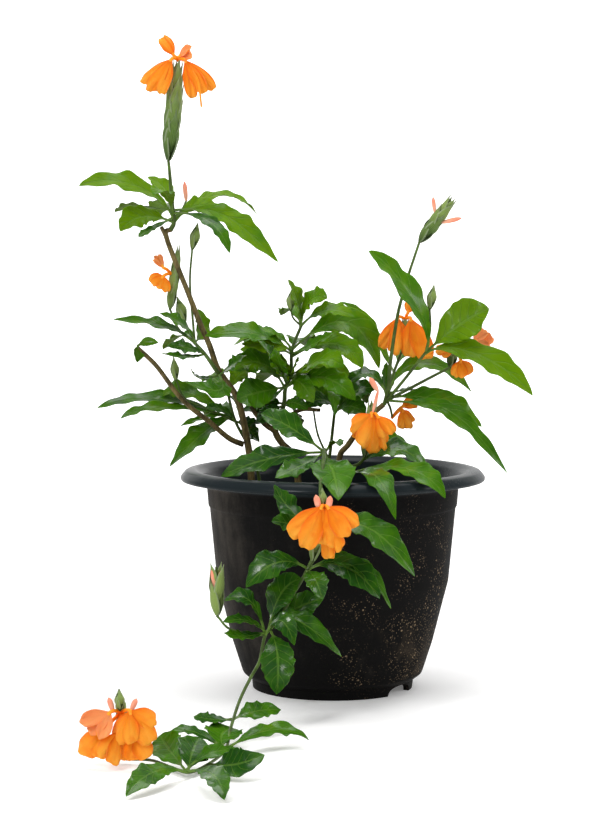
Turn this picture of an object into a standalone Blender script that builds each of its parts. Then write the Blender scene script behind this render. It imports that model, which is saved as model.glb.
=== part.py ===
"""Crossandra (orange firecracker flower) standing in a black plastic pot.

Millimetres in the tables, metres in the meshes. +Z is up, +X to the right of the front, and the
origin is the centre of the pot's underside, on the surface that the pot stands on.

The plant was laid out on a front elevation, drawn in perspective on the plane through the pot's
axis (y = 0). seen(x, z, y) takes a point of that drawing along its line of sight to the real depth
y, and lying(x, z, h) takes it to the height h above the surface.
"""
import math

import bmesh
import bpy
from mathutils import Vector

MM = 0.001

# The elevation's eye point
EYE_X = -29.0
EYE_DISTANCE = 2130.0
EYE_HEIGHT = 410.0

# Pot
POT_SIDES = 30
FLOOR_UNDER = 9.0
FLOOR_TOP = 12.0
PAD_RADIUS = 12.0
FOOT_INNER = 66.0
FOOT_OUTER = 71.0
WALL_OUTSIDE = [(73.4, 9.0), (79.7, 13.5), (89.0, 42.0), (96.6, 72.0), (102.8, 96.0),
                (109.0, 161.5), (110.2, 162.5), (111.6, 180.0)]
WALL_INSIDE = [(73.0, 12.0), (77.0, 16.0), (86.2, 42.0), (100.0, 96.0), (106.4, 161.5)]
RIM_UNDER = [(125.0, 191.5), (132.0, 186.6)]
RIM_LIP = [(134.0, 184.6), (135.2, 187.8)]
RIM_TOP = [(130.5, 193.6), (122.0, 195.0), (113.5, 190.5), (109.0, 181.0)]
NOTCH_TURNS = [56.0, 236.0]
NOTCH_WIDTH = 34.0
NOTCH_HEIGHT = 8.0
DRAIN_RADIUS = 6.0
DRAIN_CIRCLE = 42.0
DRAIN_COUNT = 4

# Soil
SOIL_EDGE = 160.0
SOIL_CROWN = 166.0
SOIL_CLEAR = 0.4
STEM_FOOT = 148.0
STEM_CLEARS = 170.0
HOLE_CLEAR = 0.45
HOLE_CORNERS = 1.16

# Where each stem stands in the soil (x, y) and its radius there
FEET = {
    "stem_old": (-72.0, 14.0, 4.0),
    "stem_middle": (-30.0, 30.0, 3.6),
    "stem_right": (6.0, 12.0, 3.2),
    "shoot_low_left": (-64.0, 30.0, 1.7),
    "shoot_low_middle": (-8.0, 40.0, 1.8),
    "shoot_low_right": (14.0, -42.0, 2.0),
    "shoot_trailing": (-6.0, -58.0, 2.3),
}

# Leaves: one blade is THIN through, its margin rises and falls from station to station
THIN = 0.85
PETIOLE_HALF = 1.15
PETIOLE_THICK = 1.7
PETIOLE_END = 0.13
ROOT_STEP = 0.8
FOLD = 0.22
WAVE = 0.11
PETAL_THIN = 0.75
NOTCH_SHARE = 0.6
SHOULDER = 1.25
BRACT_RING = 8
BRACT_OVER = 0.13
KEPT_SHARES = [0.76, 0.8, 0.85, 0.9]
LEVEL = 2.1
SEAT = 0.3
STALK_END = 1.2


def seen(x, z, y):
    """The real point at depth y that the elevation shows at (x, z)."""
    near = 1.0 + y / EYE_DISTANCE
    return Vector((EYE_X + (x - EYE_X) * near, y, EYE_HEIGHT + (z - EYE_HEIGHT) * near))


def lying(x, z, height):
    """The real point at a height above the surface that the elevation shows at (x, z)."""
    near = (EYE_HEIGHT - height) / (EYE_HEIGHT - z)
    return seen(x, z, (near - 1.0) * EYE_DISTANCE)


def real(x, y, z):
    return Vector((x, y, z))


def foot(name):
    """The straight foot of a stem, from inside the soil to just above it."""
    x, y = FEET[name][:2]
    return [Vector((x, y, STEM_FOOT)), Vector((x, y, STEM_CLEARS))]


def girth(name):
    return FEET[name][2]


def through(points, t):
    """Smooth curve that passes through all the points at even steps of t."""
    last = len(points) - 1
    place = Vector((0.0, 0.0, 0.0))
    for i, point in enumerate(points):
        weight = 1.0
        for j in range(last + 1):
            if j != i:
                weight *= (t * last - j) / (i - j)
        place += point * weight
    return place


def rounded(points, steps):
    """Catmull-Rom curve through the points, with a number of steps between each two."""
    first = points[0] * 2 - points[1]
    final = points[-1] * 2 - points[-2]
    ends = [first] + list(points) + [final]
    path = []
    for i in range(1, len(ends) - 2):
        a, b, c, d = ends[i - 1:i + 3]
        for k in range(steps):
            t = k / steps
            path.append(0.5 * (2 * b + (c - a) * t + (2 * a - 5 * b + 4 * c - d) * t * t
                               + (3 * b - a - 3 * c + d) * t ** 3))
    return path + [points[-1].copy()]


def tube(path, start, end, sides=5):
    """A closed round stem along a path, tapering from one radius to the other."""
    points = []
    faces = []
    tangent = (path[1] - path[0]).normalized()
    across = tangent.orthogonal().normalized()
    for i, place in enumerate(path):
        before = path[max(i - 1, 0)]
        after = path[min(i + 1, len(path) - 1)]
        tangent = (after - before).normalized()
        across = (across - tangent * across.dot(tangent)).normalized()
        along = tangent.cross(across)
        radius = start + (end - start) * i / (len(path) - 1)
        for k in range(sides):
            turn = 2 * math.pi * k / sides
            points.append(place + (across * math.cos(turn) + along * math.sin(turn)) * radius)
    for i in range(len(path) - 1):
        for k in range(sides):
            a = i * sides + k
            b = i * sides + (k + 1) % sides
            faces += [(a, b, b + sides), (a, b + sides, a + sides)]
    top = (len(path) - 1) * sides
    for k in range(1, sides - 1):
        faces += [(0, k + 1, k), (top, top + k, top + k + 1)]
    return points, faces


def thicken(points, normals, thick, faces):
    """A sheet of triangles made solid, with the same triangles on both of its faces."""
    count = len(points)
    upper = [p + n * (t / 2) for p, n, t in zip(points, normals, thick)]
    lower = [p - n * (t / 2) for p, n, t in zip(points, normals, thick)]
    edges = {(f[i], f[(i + 1) % 3]) for f in faces for i in range(3)}
    solid = list(faces) + [(c + count, b + count, a + count) for a, b, c in faces]
    for a, b in sorted(edges):
        if (b, a) not in edges:
            solid += [(b, a, a + count), (b, a + count, b + count)]
    return upper + lower, solid


def strip(a, b):
    """Triangles between two rows of a sheet that may differ in how many points they hold."""
    faces = []
    i = j = 0
    while i < len(a) - 1 or j < len(b) - 1:
        left = (i + 1) / max(len(a) - 1, 1) if i < len(a) - 1 else 9.0
        right = (j + 1) / max(len(b) - 1, 1) if j < len(b) - 1 else 9.0
        if left <= right:
            faces.append((a[i], a[i + 1], b[j]))
            i += 1
        else:
            faces.append((a[i], b[j + 1], b[j]))
            j += 1
    return faces


def blade_width(s):
    """Share of a leaf's half width at s along it: a slim petiole, then a pointed oval."""
    if s <= PETIOLE_END:
        return 0.0
    u = (s - PETIOLE_END) / (1.0 - PETIOLE_END)
    return math.sin(math.pi * u ** 1.1) ** 0.8 if u < 1.0 else 0.0


def turned(tangent, heading, roll):
    """Direction across a leaf and its upward normal, rolled so that its face turns to the front."""
    flat = Vector((heading.x, heading.y, 0.0))
    level = Vector((0.0, 0.0, 1.0)).cross(flat.normalized())
    level = (level - tangent * level.dot(tangent)).normalized()
    upward = tangent.cross(level)
    angle = math.radians(roll) * (1.0 if heading.x >= 0.0 else -1.0)
    across = level * math.cos(angle) + upward * math.sin(angle)
    return across, tangent.cross(across).normalized()


def leaf(path, width, roll, stations=4):
    """One leaf along a path of three or more points, from its root in the stem to its tip."""
    heading = path[-1] - path[0]
    points, normals, thick, rows = [], [], [], []
    spots = [0.0] + [PETIOLE_END + 0.03 + (0.9 - PETIOLE_END - 0.03) * k / (stations - 1)
                     for k in range(stations)] + [1.0]
    for k, s in enumerate(spots):
        place = through(path, s)
        tangent = (through(path, min(s + 0.02, 1.0)) - through(path, max(s - 0.02, 0.0))).normalized()
        across, normal = turned(tangent, heading, roll)
        half = max(PETIOLE_HALF, width / 2 * blade_width(s))
        if k == 0:
            row = [place - across * half, place + across * half]
        elif k == len(spots) - 1:
            row = [place]
        else:
            ripple = WAVE * width * (-1) ** k * blade_width(s)
            rise = FOLD * half
            row = [place - across * half + normal * (rise + ripple), place,
                   place + across * half + normal * (rise - ripple)]
        rows.append(list(range(len(points), len(points) + len(row))))
        points += row
        normals += [normal] * len(row)
        thick += [PETIOLE_THICK if s <= PETIOLE_END else THIN] * len(row)
    faces = []
    for a, b in zip(rows, rows[1:]):
        faces += strip(a, b)
    return thicken(points, normals, thick, faces)


def spike(base, top, radius, layers, turn=0.0):
    """A flower spike: crossed pairs of pointed bracts, each pair standing over the roots of the next.
    One closed skin: it leaves the core at a layer's root, runs up the outside of the two bracts to
    their points and comes back down their inside to the root of the next layer."""
    axis = top - base
    along = axis.normalized()
    side = along.cross(Vector((0.0, 1.0, 0.0))).normalized()
    front = along.cross(side).normalized()
    points, rings = [], []

    def ring(outline, height, twist):
        rings.append(list(range(len(points), len(points) + BRACT_RING)))
        for k in range(BRACT_RING):
            angle = math.radians(turn) + twist + 2 * math.pi * k / BRACT_RING
            reach, rise = outline[k % (BRACT_RING // 2)]
            outward = side * math.cos(angle) + front * math.sin(angle)
            points.append(base + axis * (height + rise) + outward * radius * reach)

    step = (1.0 - BRACT_OVER) / layers
    for layer in range(layers):
        twist = math.pi / 2 * layer
        swell = math.sin(math.pi * (0.38 + 0.5 * layer / layers))
        core = 0.3 * swell
        length = step + BRACT_OVER
        ring([(core, 0.0)] * 4, step * layer, twist)
        ring([(0.86 * swell, length), (0.9 * swell, 0.52 * length), (0.43 * swell, 0.2 * length),
              (0.9 * swell, 0.52 * length)], step * layer, twist)
    ring([(0.2, 0.0)] * 4, step * layers, math.pi / 2 * layers)
    faces = []
    for i, (a, b) in enumerate(zip(rings, rings[1:])):
        shift = BRACT_RING // 4 * (i % 2)
        for k in range(BRACT_RING):
            low, high = a[k], a[(k + 1) % BRACT_RING]
            over, after = b[(k - shift) % BRACT_RING], b[(k + 1 - shift) % BRACT_RING]
            if k % 2 == 0:
                faces += [(low, high, over), (high, after, over)]
            else:
                faces += [(low, high, after), (low, after, over)]
    for end in (rings[0][::-1], rings[-1]):
        faces += [(end[0], end[k], end[k + 1]) for k in range(1, BRACT_RING - 1)]
    return [(points, faces)]


def bud(base, top, radius):
    """A small closed spindle, as an unopened spike or flower."""
    path = [base, base.lerp(top, 0.35), base.lerp(top, 0.7), top]
    points, faces = tube(path, radius * 0.4, radius * 0.3, 4)
    for ring, swell in ((1, 1.0), (2, 0.8)):
        for k in range(ring * 4, ring * 4 + 4):
            spread = points[k] - path[ring]
            points[k] = path[ring] + spread.normalized() * radius * swell
    return points, faces


def corolla(joint, neck, tip, roll, spread, lobes):
    """One flower: a slim tube from the joint to the neck, then a one-sided fan of round lobes."""
    middle = tip - neck
    size = middle.length
    along = middle.normalized()
    across, normal = turned(along, middle, roll)
    points = [neck - across * 1.0 - along * 1.5, neck + across * 1.0 - along * 1.5]
    normals = [normal, normal]
    half = math.radians(spread) / 2

    def rim(angle, share, lift):
        flat = along * math.cos(angle) + across * math.sin(angle)
        droop = -0.16 * size * share ** 2 - 0.1 * size * math.sin(angle) ** 2 * share
        points.append(neck + flat * size * share + normal * (droop + lift * size))
        normals.append(normal)
        return len(points) - 1

    wide = half * SHOULDER
    ring = [rim(-wide + 2 * wide * k / lobes, NOTCH_SHARE, 0.03 * (-1) ** k) for k in range(lobes + 1)]
    faces = strip([0, 1], ring)
    for k in range(lobes):
        centre = -half + 2 * half * (k + 0.5) / lobes
        width = half / lobes
        reach = 1.0 - 0.16 * abs(centre) / max(half, 0.01)
        left = rim(centre - width * 0.85, 0.87 * reach, 0.02)
        end = rim(centre, reach, -0.02)
        right = rim(centre + width * 0.85, 0.87 * reach, -0.01)
        faces += [(ring[k], ring[k + 1], left), (ring[k + 1], right, left), (left, right, end)]
    sheet = thicken(points, normals, [PETAL_THIN] * len(points), faces)
    return [tube([joint, neck + along], 1.5, 1.2, 3), sheet]


# ---------------------------------------------------------------------------------- the plan
# Stems: points (x, z, y) of the elevation unless they are built with real() or lying()

OLD_STEM = foot("stem_old") + [seen(-73.5, 204, 14), seen(-80, 241, 11),
            seen(-86, 260, 9), seen(-101, 282, 5), seen(-109, 304, 2), seen(-118, 325, -1),
            seen(-128, 351, -4), seen(-146.6, 399, -8), seen(-142.5, 406, -8)]
OLD_STEM_FORK = [seen(-146.6, 399, -8), seen(-151, 408, -5)]
PRUNED_STEM = [seen(-79.5, 216, 13), seen(-92, 221.5, 9), seen(-110, 236.7, 3), seen(-126, 249, -2),
               seen(-138.6, 262, -6), seen(-156, 285.7, -9), seen(-173, 302, -10)]
MIDDLE_TRUNK = foot("stem_middle") + [seen(-34, 204, 32), seen(-45, 217, 33),
                seen(-51, 228, 33), seen(-47, 240, 31)]
MIDDLE_BACK_BRANCH = [seen(-51, 228, 33), seen(-60, 234, 36), seen(-68, 243, 38), seen(-72, 250, 38)]
MIDDLE_SIDE_BRANCH = [seen(-50, 232, 33), seen(-30, 246, 40), seen(-11, 246.5, 42)]
RIGHT_TRUNK = foot("stem_right") + [seen(6, 204, 12), seen(14, 216, 10),
               seen(28, 236, 7), seen(45, 251.5, 3)]


def seated(before, end, top):
    """Where a spike starts so that its root just clears the cut end of its stalk."""
    along = (top - end).normalized()
    tilt = along.angle(end - before)
    return end + along * (SEAT + STALK_END * math.sin(tilt))


def stem(points, start, end, steps=2, sides=5):
    return tube(rounded(points, steps), start, end, sides)


def leaves(node, toward, rows):
    """Leaves from one node of a stem, set in opposite pairs that climb from the node toward another
    point of the stem. A row holds the points that a leaf's rib passes through, its width, its roll
    and, where it isn't four, the number of stations between its root and its tip."""
    climb = (toward - node).normalized()
    paths = [[seen(*p) if isinstance(p, tuple) else p for p in row[0]] for row in rows]
    headings = [math.atan2(path[0].y - node.y, path[0].x - node.x) for path in paths]
    order = sorted(range(len(rows)), key=lambda k: headings[k])
    levels = (len(rows) + 1) // 2
    made = []
    for k, (path, row) in enumerate(zip(paths, rows)):
        place = node + climb * LEVEL * (order.index(k) % levels)
        root = place + (path[0] - place).normalized() * ROOT_STEP
        made.append(leaf([root] + path, *row[1:]))
    return made


def top_shoot():
    node = seen(-140, 412, -8)
    pieces = [stem([seen(-142, 408, -8), node, seen(-141, 425, -8), seen(-143.3, 453, -8),
                    seen(-144.5, 466, -8)], 2.2, 1.2)]
    return pieces + leaves(node, seen(-141, 425, -8), [
        ([(-159, 437, -16), (-190, 448, -24), (-223.5, 444, -30)], 24, 40, 5),
        ([(-147, 440, 26), (-163, 452, 46)], 15, 20),
        ([(-148, 438, -30), (-158, 436, -56)], 19, 15),
        ([(-168, 417, -12), (-187, 404, -22)], 26, 45),
        ([(-173, 425, 18), (-192, 421, 30)], 18, -10, 3),
        ([(-160, 406, -22), (-171, 399, -32)], 10, 20, 3),
        ([(-99, 436, 20), (-66, 418, 28)], 18, 20, 5),
        ([(-106, 422, -14), (-80, 408, -24), (-48, 377, -28)], 22, 50, 5),
        ([(-118, 427, -2), (-96, 418, 4)], 20, 40),
        ([(-108, 412, -36), (-91, 385, -48)], 14, 25),
        ([(-150, 428, 38), (-158, 412, 72)], 22, 0),
        ([(-118, 426, 36), (-104, 408, 66)], 22, 0),
    ])


def left_shoot():
    root = seen(-99.95, 277.5, 1.1)
    node = seen(-122, 306, 1)
    pieces = [
        stem([root, seen(-104, 283, -3), seen(-113, 296, -2), node], 2.0, 1.5),
        stem([node, seen(-136, 318, 7), seen(-143.7, 335.5, 11)], 1.2, 1.0, sides=4),
        stem([node, seen(-123.5, 325, 10), seen(-126, 360, 13), seen(-123.8, 390, 14)], 1.2, 0.9, sides=4),
        stem([node, seen(-126, 315, 13), seen(-130.8, 326, 20)], 1.0, 0.9, sides=4),
        bud(seen(-123.8, 389, 14), seen(-118.8, 412, 15), 4.2),
        bud(seen(-130.6, 325, 20), seen(-137.5, 347, 22), 4.4),
    ]
    pieces += leaves(node, seen(-113, 296, -2), [
        ([(-150, 321, -8), (-194, 326.5, -14)], 18, 25, 5),
        ([(-133, 322, -6), (-153, 332, -12)], 16, 35),
        ([(-116, 318, 20), (-119, 336, 30)], 20, 50, 3),
        ([(-133, 312, 28), (-150, 300, 50)], 20, 10),
    ])
    pieces += leaves(seen(-113, 296, -2), root, [
        ([(-127, 301, -12), (-147, 303, -20)], 17, 35),
        ([(-131, 293.5, -22), (-152, 297, -32)], 13, 20),
    ])
    return pieces + leaves(root, seen(-104, 283, -3), [
        ([(-101, 264, -22), (-132, 272, -31)], 23, 40),
        ([(-118, 275, -14), (-125.5, 284, -18)], 9, 30, 3),
        ([(-89, 286, -12), (-76, 295, -14)], 19, 40, 3),
    ])


def low_left_shoot():
    node = seen(-86, 236, 23)
    fork = seen(-93, 262, 22)
    pieces = [
        stem(foot("shoot_low_left") + [seen(-70, 205, 30), node, fork], girth("shoot_low_left"), 1.2),
        stem([node, seen(-112, 248, 18), seen(-131, 257, 12), seen(-138.8, 274, 8)], 1.0, 0.8, sides=4),
        bud(seen(-138.8, 273, 8), seen(-140.8, 294, 8), 3.6),
    ]
    pieces += leaves(node, fork, [
        ([(-128, 262, 22), (-150, 259, 24)], 22, 35),
        ([(-150, 256, 22), (-209, 248, 14)], 20, 25, 5),
        ([(-150, 249, 8), (-188, 238.5, -6)], 15, 25, 5),
        ([(-112, 240, 14), (-135, 232, 4)], 10, 20, 3),
        ([(-112, 228, 26), (-144.5, 196, 14)], 24, 35),
        ([(-100, 250, 40), (-112, 240, 68)], 22, 0),
        ([(-76, 233, 42), (-67, 221, 58)], 18, 40, 3),
    ])
    return pieces + leaves(fork, node, [
        ([(-104, 274, 36), (-112, 276, 58)], 22, 20),
        ([(-84, 276, 24), (-72, 283, 30)], 18, 30, 3),
        ([(-86, 252, 38), (-83, 240, 52)], 16, 60, 3),
    ])


def middle_shoot():
    low = seen(-42, 265, 24)
    crown = seen(-38.5, 274, 21.5)
    mid = seen(-36, 300, 16)
    high = seen(-28, 321, 13)
    pieces = [
        stem([seen(-46.7, 240.6, 30.8), seen(-43, 253, 28), low, seen(-37, 279, 20), mid, high], 2.2, 1.3),
        stem([high, seen(-35, 328, 11), seen(-37.3, 336, 10)], 0.9, 0.8, 1, 4),
        bud(seen(-37.3, 335, 10), seen(-36.6, 353, 10), 3.8),
    ]
    pieces += leaves(high, mid, [
        ([(-31, 341, 8), (-39.6, 362, 4)], 21, 60),
        ([(-20, 343, 4), (-5, 345, -4)], 23, 50),
        ([(-6, 334.5, 5), (19.4, 329, 0)], 20, 35),
        ([(-34, 336, 34), (-46, 330, 58)], 22, 10),
    ])
    pieces += leaves(mid, seen(-37, 279, 20), [
        ([(12, 324, 25), (41, 283, 26)], 31, 55, 5),
        ([(2, 305, 8), (26, 283, -4)], 24, 45),
        ([(-17, 305, -2), (1, 315, -10)], 15, 45),
        ([(-70, 314, -4), (-113, 312, -10)], 25, 35, 5),
        ([(-58, 306, 34), (-84, 316, 46)], 25, 50),
        ([(-57, 314, 14), (-88, 303.5, 20)], 22, 20),
        ([(-30, 310, 42), (-20, 300, 74)], 24, 0),
    ])
    pieces += leaves(crown, mid, [
        ([(-58, 296, 30), (-82, 300, 38)], 22, 50),
        ([(-41, 286, 8), (-46, 297, 2)], 12, 30, 3),
        ([(-28, 284, 6), (-18, 290, 0)], 12, 30, 3),
        ([(-8, 284, 32), (18, 272, 40)], 23, 45),
    ])
    return pieces + leaves(low, seen(-37, 279, 20), [
        ([(-13, 290, -14), (9, 284, -26)], 25, 40),
        ([(-8, 275, -12), (20, 255, -24)], 23, 50),
        ([(-43, 277, 4), (-46, 288, -8)], 12, 30, 3),
        ([(-52, 290, -8), (-67, 309, -20)], 20, 60),
        ([(-46, 285, -14), (-51, 301, -30)], 16, 20, 3),
        ([(-66, 262, 0), (-85, 256, -8)], 29, 60),
        ([(-64, 288, 10), (-94, 281, 10)], 25, 50),
        ([(-27, 269, 2), (-17, 253, -8)], 20, 65, 3),
        ([(-52, 280, 50), (-66, 270, 78)], 24, 0),
        ([(-30, 278, 52), (-22, 264, 84)], 24, 0),
        ([(-56, 254, 36), (-74, 249, 48)], 15, 40, 3),
    ])


def low_middle_shoot():
    node = seen(2, 248, 26)
    pieces = [stem(foot("shoot_low_middle") + [seen(-3, 204, 38), seen(0, 230, 33), node],
                   girth("shoot_low_middle"), 1.3)]
    return pieces + leaves(node, seen(0, 230, 33), [
        ([(-10, 256, 14), (-24, 249, 4)], 18, 45, 3),
        ([(0, 262, -2), (2, 241, -18)], 14, 30, 3),
        ([(16, 250, 18), (29, 242, 8)], 19, 50, 3),
        ([(-8, 262, 50), (-20, 248, 80)], 24, 0),
        ([(16, 264, 48), (30, 252, 78)], 24, 0),
        ([(-10, 262, 34), (-30, 264, 44)], 22, 45),
        ([(18, 262, 32), (38, 266, 42)], 22, 45),
    ])


def right_shoot():
    crown = seen(48, 255, 1)
    fork = seen(82, 297.5, -8)
    pieces = [
        stem([seen(45.9, 252.4, 2.7), seen(49.5, 268, -2), seen(50.8, 288, -5), seen(56.5, 327, -8),
              seen(61.4, 348, -9), seen(66, 364, -8), seen(76, 394.5, -6)], 1.9, 1.1),
        stem([crown, seen(66, 277, -4), fork], 1.5, 1.2, sides=4),
        stem([crown, seen(80, 272, 7), seen(103, 284, 10)], 1.5, 1.2, sides=4),
        stem([crown, seen(54, 280, 16), seen(61.6, 300, 22)], 1.3, 1.1, sides=4),
        stem([fork, seen(86, 318, -1), seen(85.4, 337, 0)], 1.0, 0.9, 1, 4),
        stem([crown, seen(51, 248, 8), seen(52.5, 241, 12)], 1.1, 1.0, 1, 4),
        bud(seen(85.4, 336, 0), seen(89.3, 357.5, 0), 4.0),
    ]
    pieces += leaves(fork, seen(66, 277, -4), [
        ([(109, 301, -15), (145, 287, -22), (177, 259, -25)], 27, 45, 5),
        ([(79.5, 327, -22), (57.5, 363, -24), (31.3, 387, -20)], 25, 55, 5),
        ([(112, 322, -14), (138, 336, -22)], 39, 66, 5),
    ])
    pieces += leaves(seen(54, 280, 16), crown, [
        ([(44, 300, 46), (28, 326, 55), (6, 342, 52)], 13, 20),
        ([(66, 300, 44), (76, 292, 72)], 24, 0),
    ])
    return pieces + leaves(crown, seen(50.8, 288, -5), [
        ([(65, 284, 14), (92, 286, 18), (123, 262, 14)], 17, 45),
        ([(84, 252, -6), (114, 238, -14), (155, 190, -20)], 17, 50, 6),
        ([(92, 255, 10), (132, 231.5, 14)], 28, 45, 5),
        ([(32, 278, 6), (11, 268, 2)], 19, 30, 3),
        ([(46, 272, 14), (47.5, 289, 18)], 13, 50, 3),
        ([(78, 262, 40), (98, 244, 66)], 25, 0),
        ([(44, 276, 44), (50, 262, 76)], 24, 0),
    ])


def low_right_shoot():
    node = seen(15, 192, -44)
    pieces = [
        stem(foot("shoot_low_right") + [node, seen(24, 199, -47), seen(28, 204, -49.5)],
             girth("shoot_low_right"), 1.3),
    ]
    pieces += leaves(seen(24, 199, -47), node, [
        ([(50, 219, -20), (70, 209, -8)], 20, 40, 3),
    ])
    return pieces + leaves(node, foot("shoot_low_right")[1], [
        ([(54, 212, -52), (83.6, 192, -50)], 23, 35),
        ([(48, 196, -70), (78, 190, -104), (100, 168, -118)], 23, 25, 5),
        ([(26, 191, -85), (40, 186, -124), (56, 149, -150)], 22, 10, 5),
    ])


def trailing_shoot():
    first = seen(-7, 209, -60)
    second = seen(-10, 135, -146)
    third = seen(-22, 105, -148)
    fourth = seen(-60, 45, -158)
    fifth = lying(-96, -58.6, 5.5)
    sixth = lying(-129, -79, 4.5)
    along_rim = [real(-9, -94, 212), real(-11, -124, 201), real(-12, -141, 190)]
    hanging = [seen(-35, 82, -150), seen(-48, 60, -154)]
    to_floor = [seen(-65, 22, -174), seen(-73, 7, -193), seen(-83, -14, -216), seen(-91, -39, -252)]
    pieces = [
        stem(foot("shoot_trailing") + [first] + along_rim + [second, third]
             + hanging + [fourth] + to_floor + [fifth, lying(-112, -72, 4.5), sixth,
             lying(-145, -74, 4.5), lying(-162, -68, 5), seen(-184, -67, -316)],
             girth("shoot_trailing"), 1.5, 1),
        stem([fourth, seen(-90, 50, -154), seen(-102.5, 62, -152)], 1.1, 1.0, sides=4),
        stem([third, seen(-21, 106, -156), seen(-17.9, 110.8, -160.4)], 1.3, 1.0, sides=4),
    ]
    pieces += leaves(first, along_rim[0], [
        ([(-38, 231, -62), (-63.6, 243, -64)], 27, 45, 5),
        ([(-56, 203, -62), (-99, 187.5, -50)], 28, 40, 5),
        ([(-3, 198, -96), (1, 189, -122), (5, 166, -146)], 38, 0, 5),
        ([(-30, 196, -82), (-51, 186, -92)], 20, 30),
        ([(2, 218, -66), (6, 214, -78)], 12, 0, 3),
    ])
    pieces += leaves(second, third, [
        ([(-37, 157, -152), (-52, 180, -150)], 21, 45),
        ([(-36, 144, -152), (-54, 147, -156)], 22, 35),
        ([(30, 142, -152), (73, 98, -160)], 28, 40, 5),
    ])
    pieces += leaves(third, hanging[0], [
        ([(-50, 110, -160), (-77, 88, -164)], 27, 40),
        ([(12, 106, -152), (42, 78, -158)], 27, 45, 5),
        ([(18, 110, -146), (52, 69, -150)], 20, 30, 5),
        ([(-16, 96, -166), (-9, 77, -172)], 19, 10, 3),
    ])
    pieces += leaves(fourth, hanging[1], [
        ([(-46, 82, -150), (-28, 96, -152)], 26, 50),
        ([(-34, 68, -142), (-8, 78, -140)], 26, 45),
        ([(-74, 76, -160), (-96, 76, -162)], 19, 30),
        ([(-76, 58, -166), (-98, 57, -170)], 14, 25, 3),
        ([(-78, 44, -168), (-97, 47, -176)], 15, 25, 3),
        ([(-49, 26, -184), (-50, -8, -196)], 28, 10, 5),
        ([(-46, 58, -170), (-34, 36, -178)], 18, 35, 3),
        ([(-36, 60, -158), (8, 26, -164)], 24, 35, 5),
    ])
    pieces += leaves(seen(-89, -31, -238), to_floor[2], [
        ([(-108, -31, -246), (-124, -28, -242)], 15, 25, 3),
        ([(-70, -24, -226), (-46, -22, -206)], 19, 35),
    ])
    pieces += leaves(fifth, lying(-112, -72, 4.5), [
        ([(-71, -45, -277), (-45, -40.5, -260), (-21, -50, -268)], 17, 25, 5),
        ([(-99, -45, -264), (-88, -39, -240)], 30, 10),
        ([(-122, -43, -286), (-144, -41, -282)], 13, 20, 3),
    ])
    pieces += leaves(lying(-112, -72, 4.5), sixth, [
        ([(-97, -72.5, -354), (-83, -71, -368), (-60.5, -63, -362)], 25, 58),
    ])
    return pieces + leaves(sixth, lying(-145, -74, 4.5), [
        ([(-126, -62, -345), (-119, -47, -326)], 28, 25, 3),
        ([lying(-104, -60, 15), lying(-78, -67, 6)], 15, 30),
        ([lying(-107, -81, 14), lying(-97, -104, 3)], 18, 20),
        ([lying(-160, -79, 13), lying(-185, -101, 3)], 18, 35),
        ([(-146, -58, -330), (-154, -45, -312)], 26, 35, 3),
    ])


# Spikes: the last two points of the stalk that each stands on, its top, its radius, how many pairs
# of bracts it has, and the turn of the first pair
SPIKES = {
    "spike_top": (seen(-143.3, 453, -8), seen(-144.5, 466, -8), seen(-135.8, 553, -8), 7.8, 6, 20),
    "spike_left": (seen(-136, 318, 7), seen(-143.7, 335.5, 11), seen(-136, 390, 13), 4.8, 4, 60),
    "spike_tall_right": (seen(66, 364, -8), seen(76, 394.5, -6), seen(104.7, 432, -8), 6.4, 4, 30),
    "spike_right": (seen(54, 280, 16), seen(61.6, 300, 22), seen(64, 326, 20), 5.0, 3, 0),
    "spike_far_right": (seen(80, 272, 7), seen(103, 284, 10), seen(111, 313, 8), 5.2, 3, 40),
    "spike_middle": (seen(24, 199, -47), seen(28, 204, -49.5), seen(35.4, 253, -54), 5.6, 4, 20),
    "spike_front": (seen(-21, 106, -156), seen(-17.9, 110.8, -160.4), seen(-7, 168, -163), 6.2, 4, 10),
    "spike_hanging_left": (seen(-90, 50, -154), seen(-102.5, 62, -152), seen(-103.5, 108, -150),
                           7.6, 4, 45),
    "spike_floor": (lying(-162, -68, 5), seen(-184, -67, -316), seen(-190.5, -6, -318), 5.8, 4, 10),
}

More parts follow.
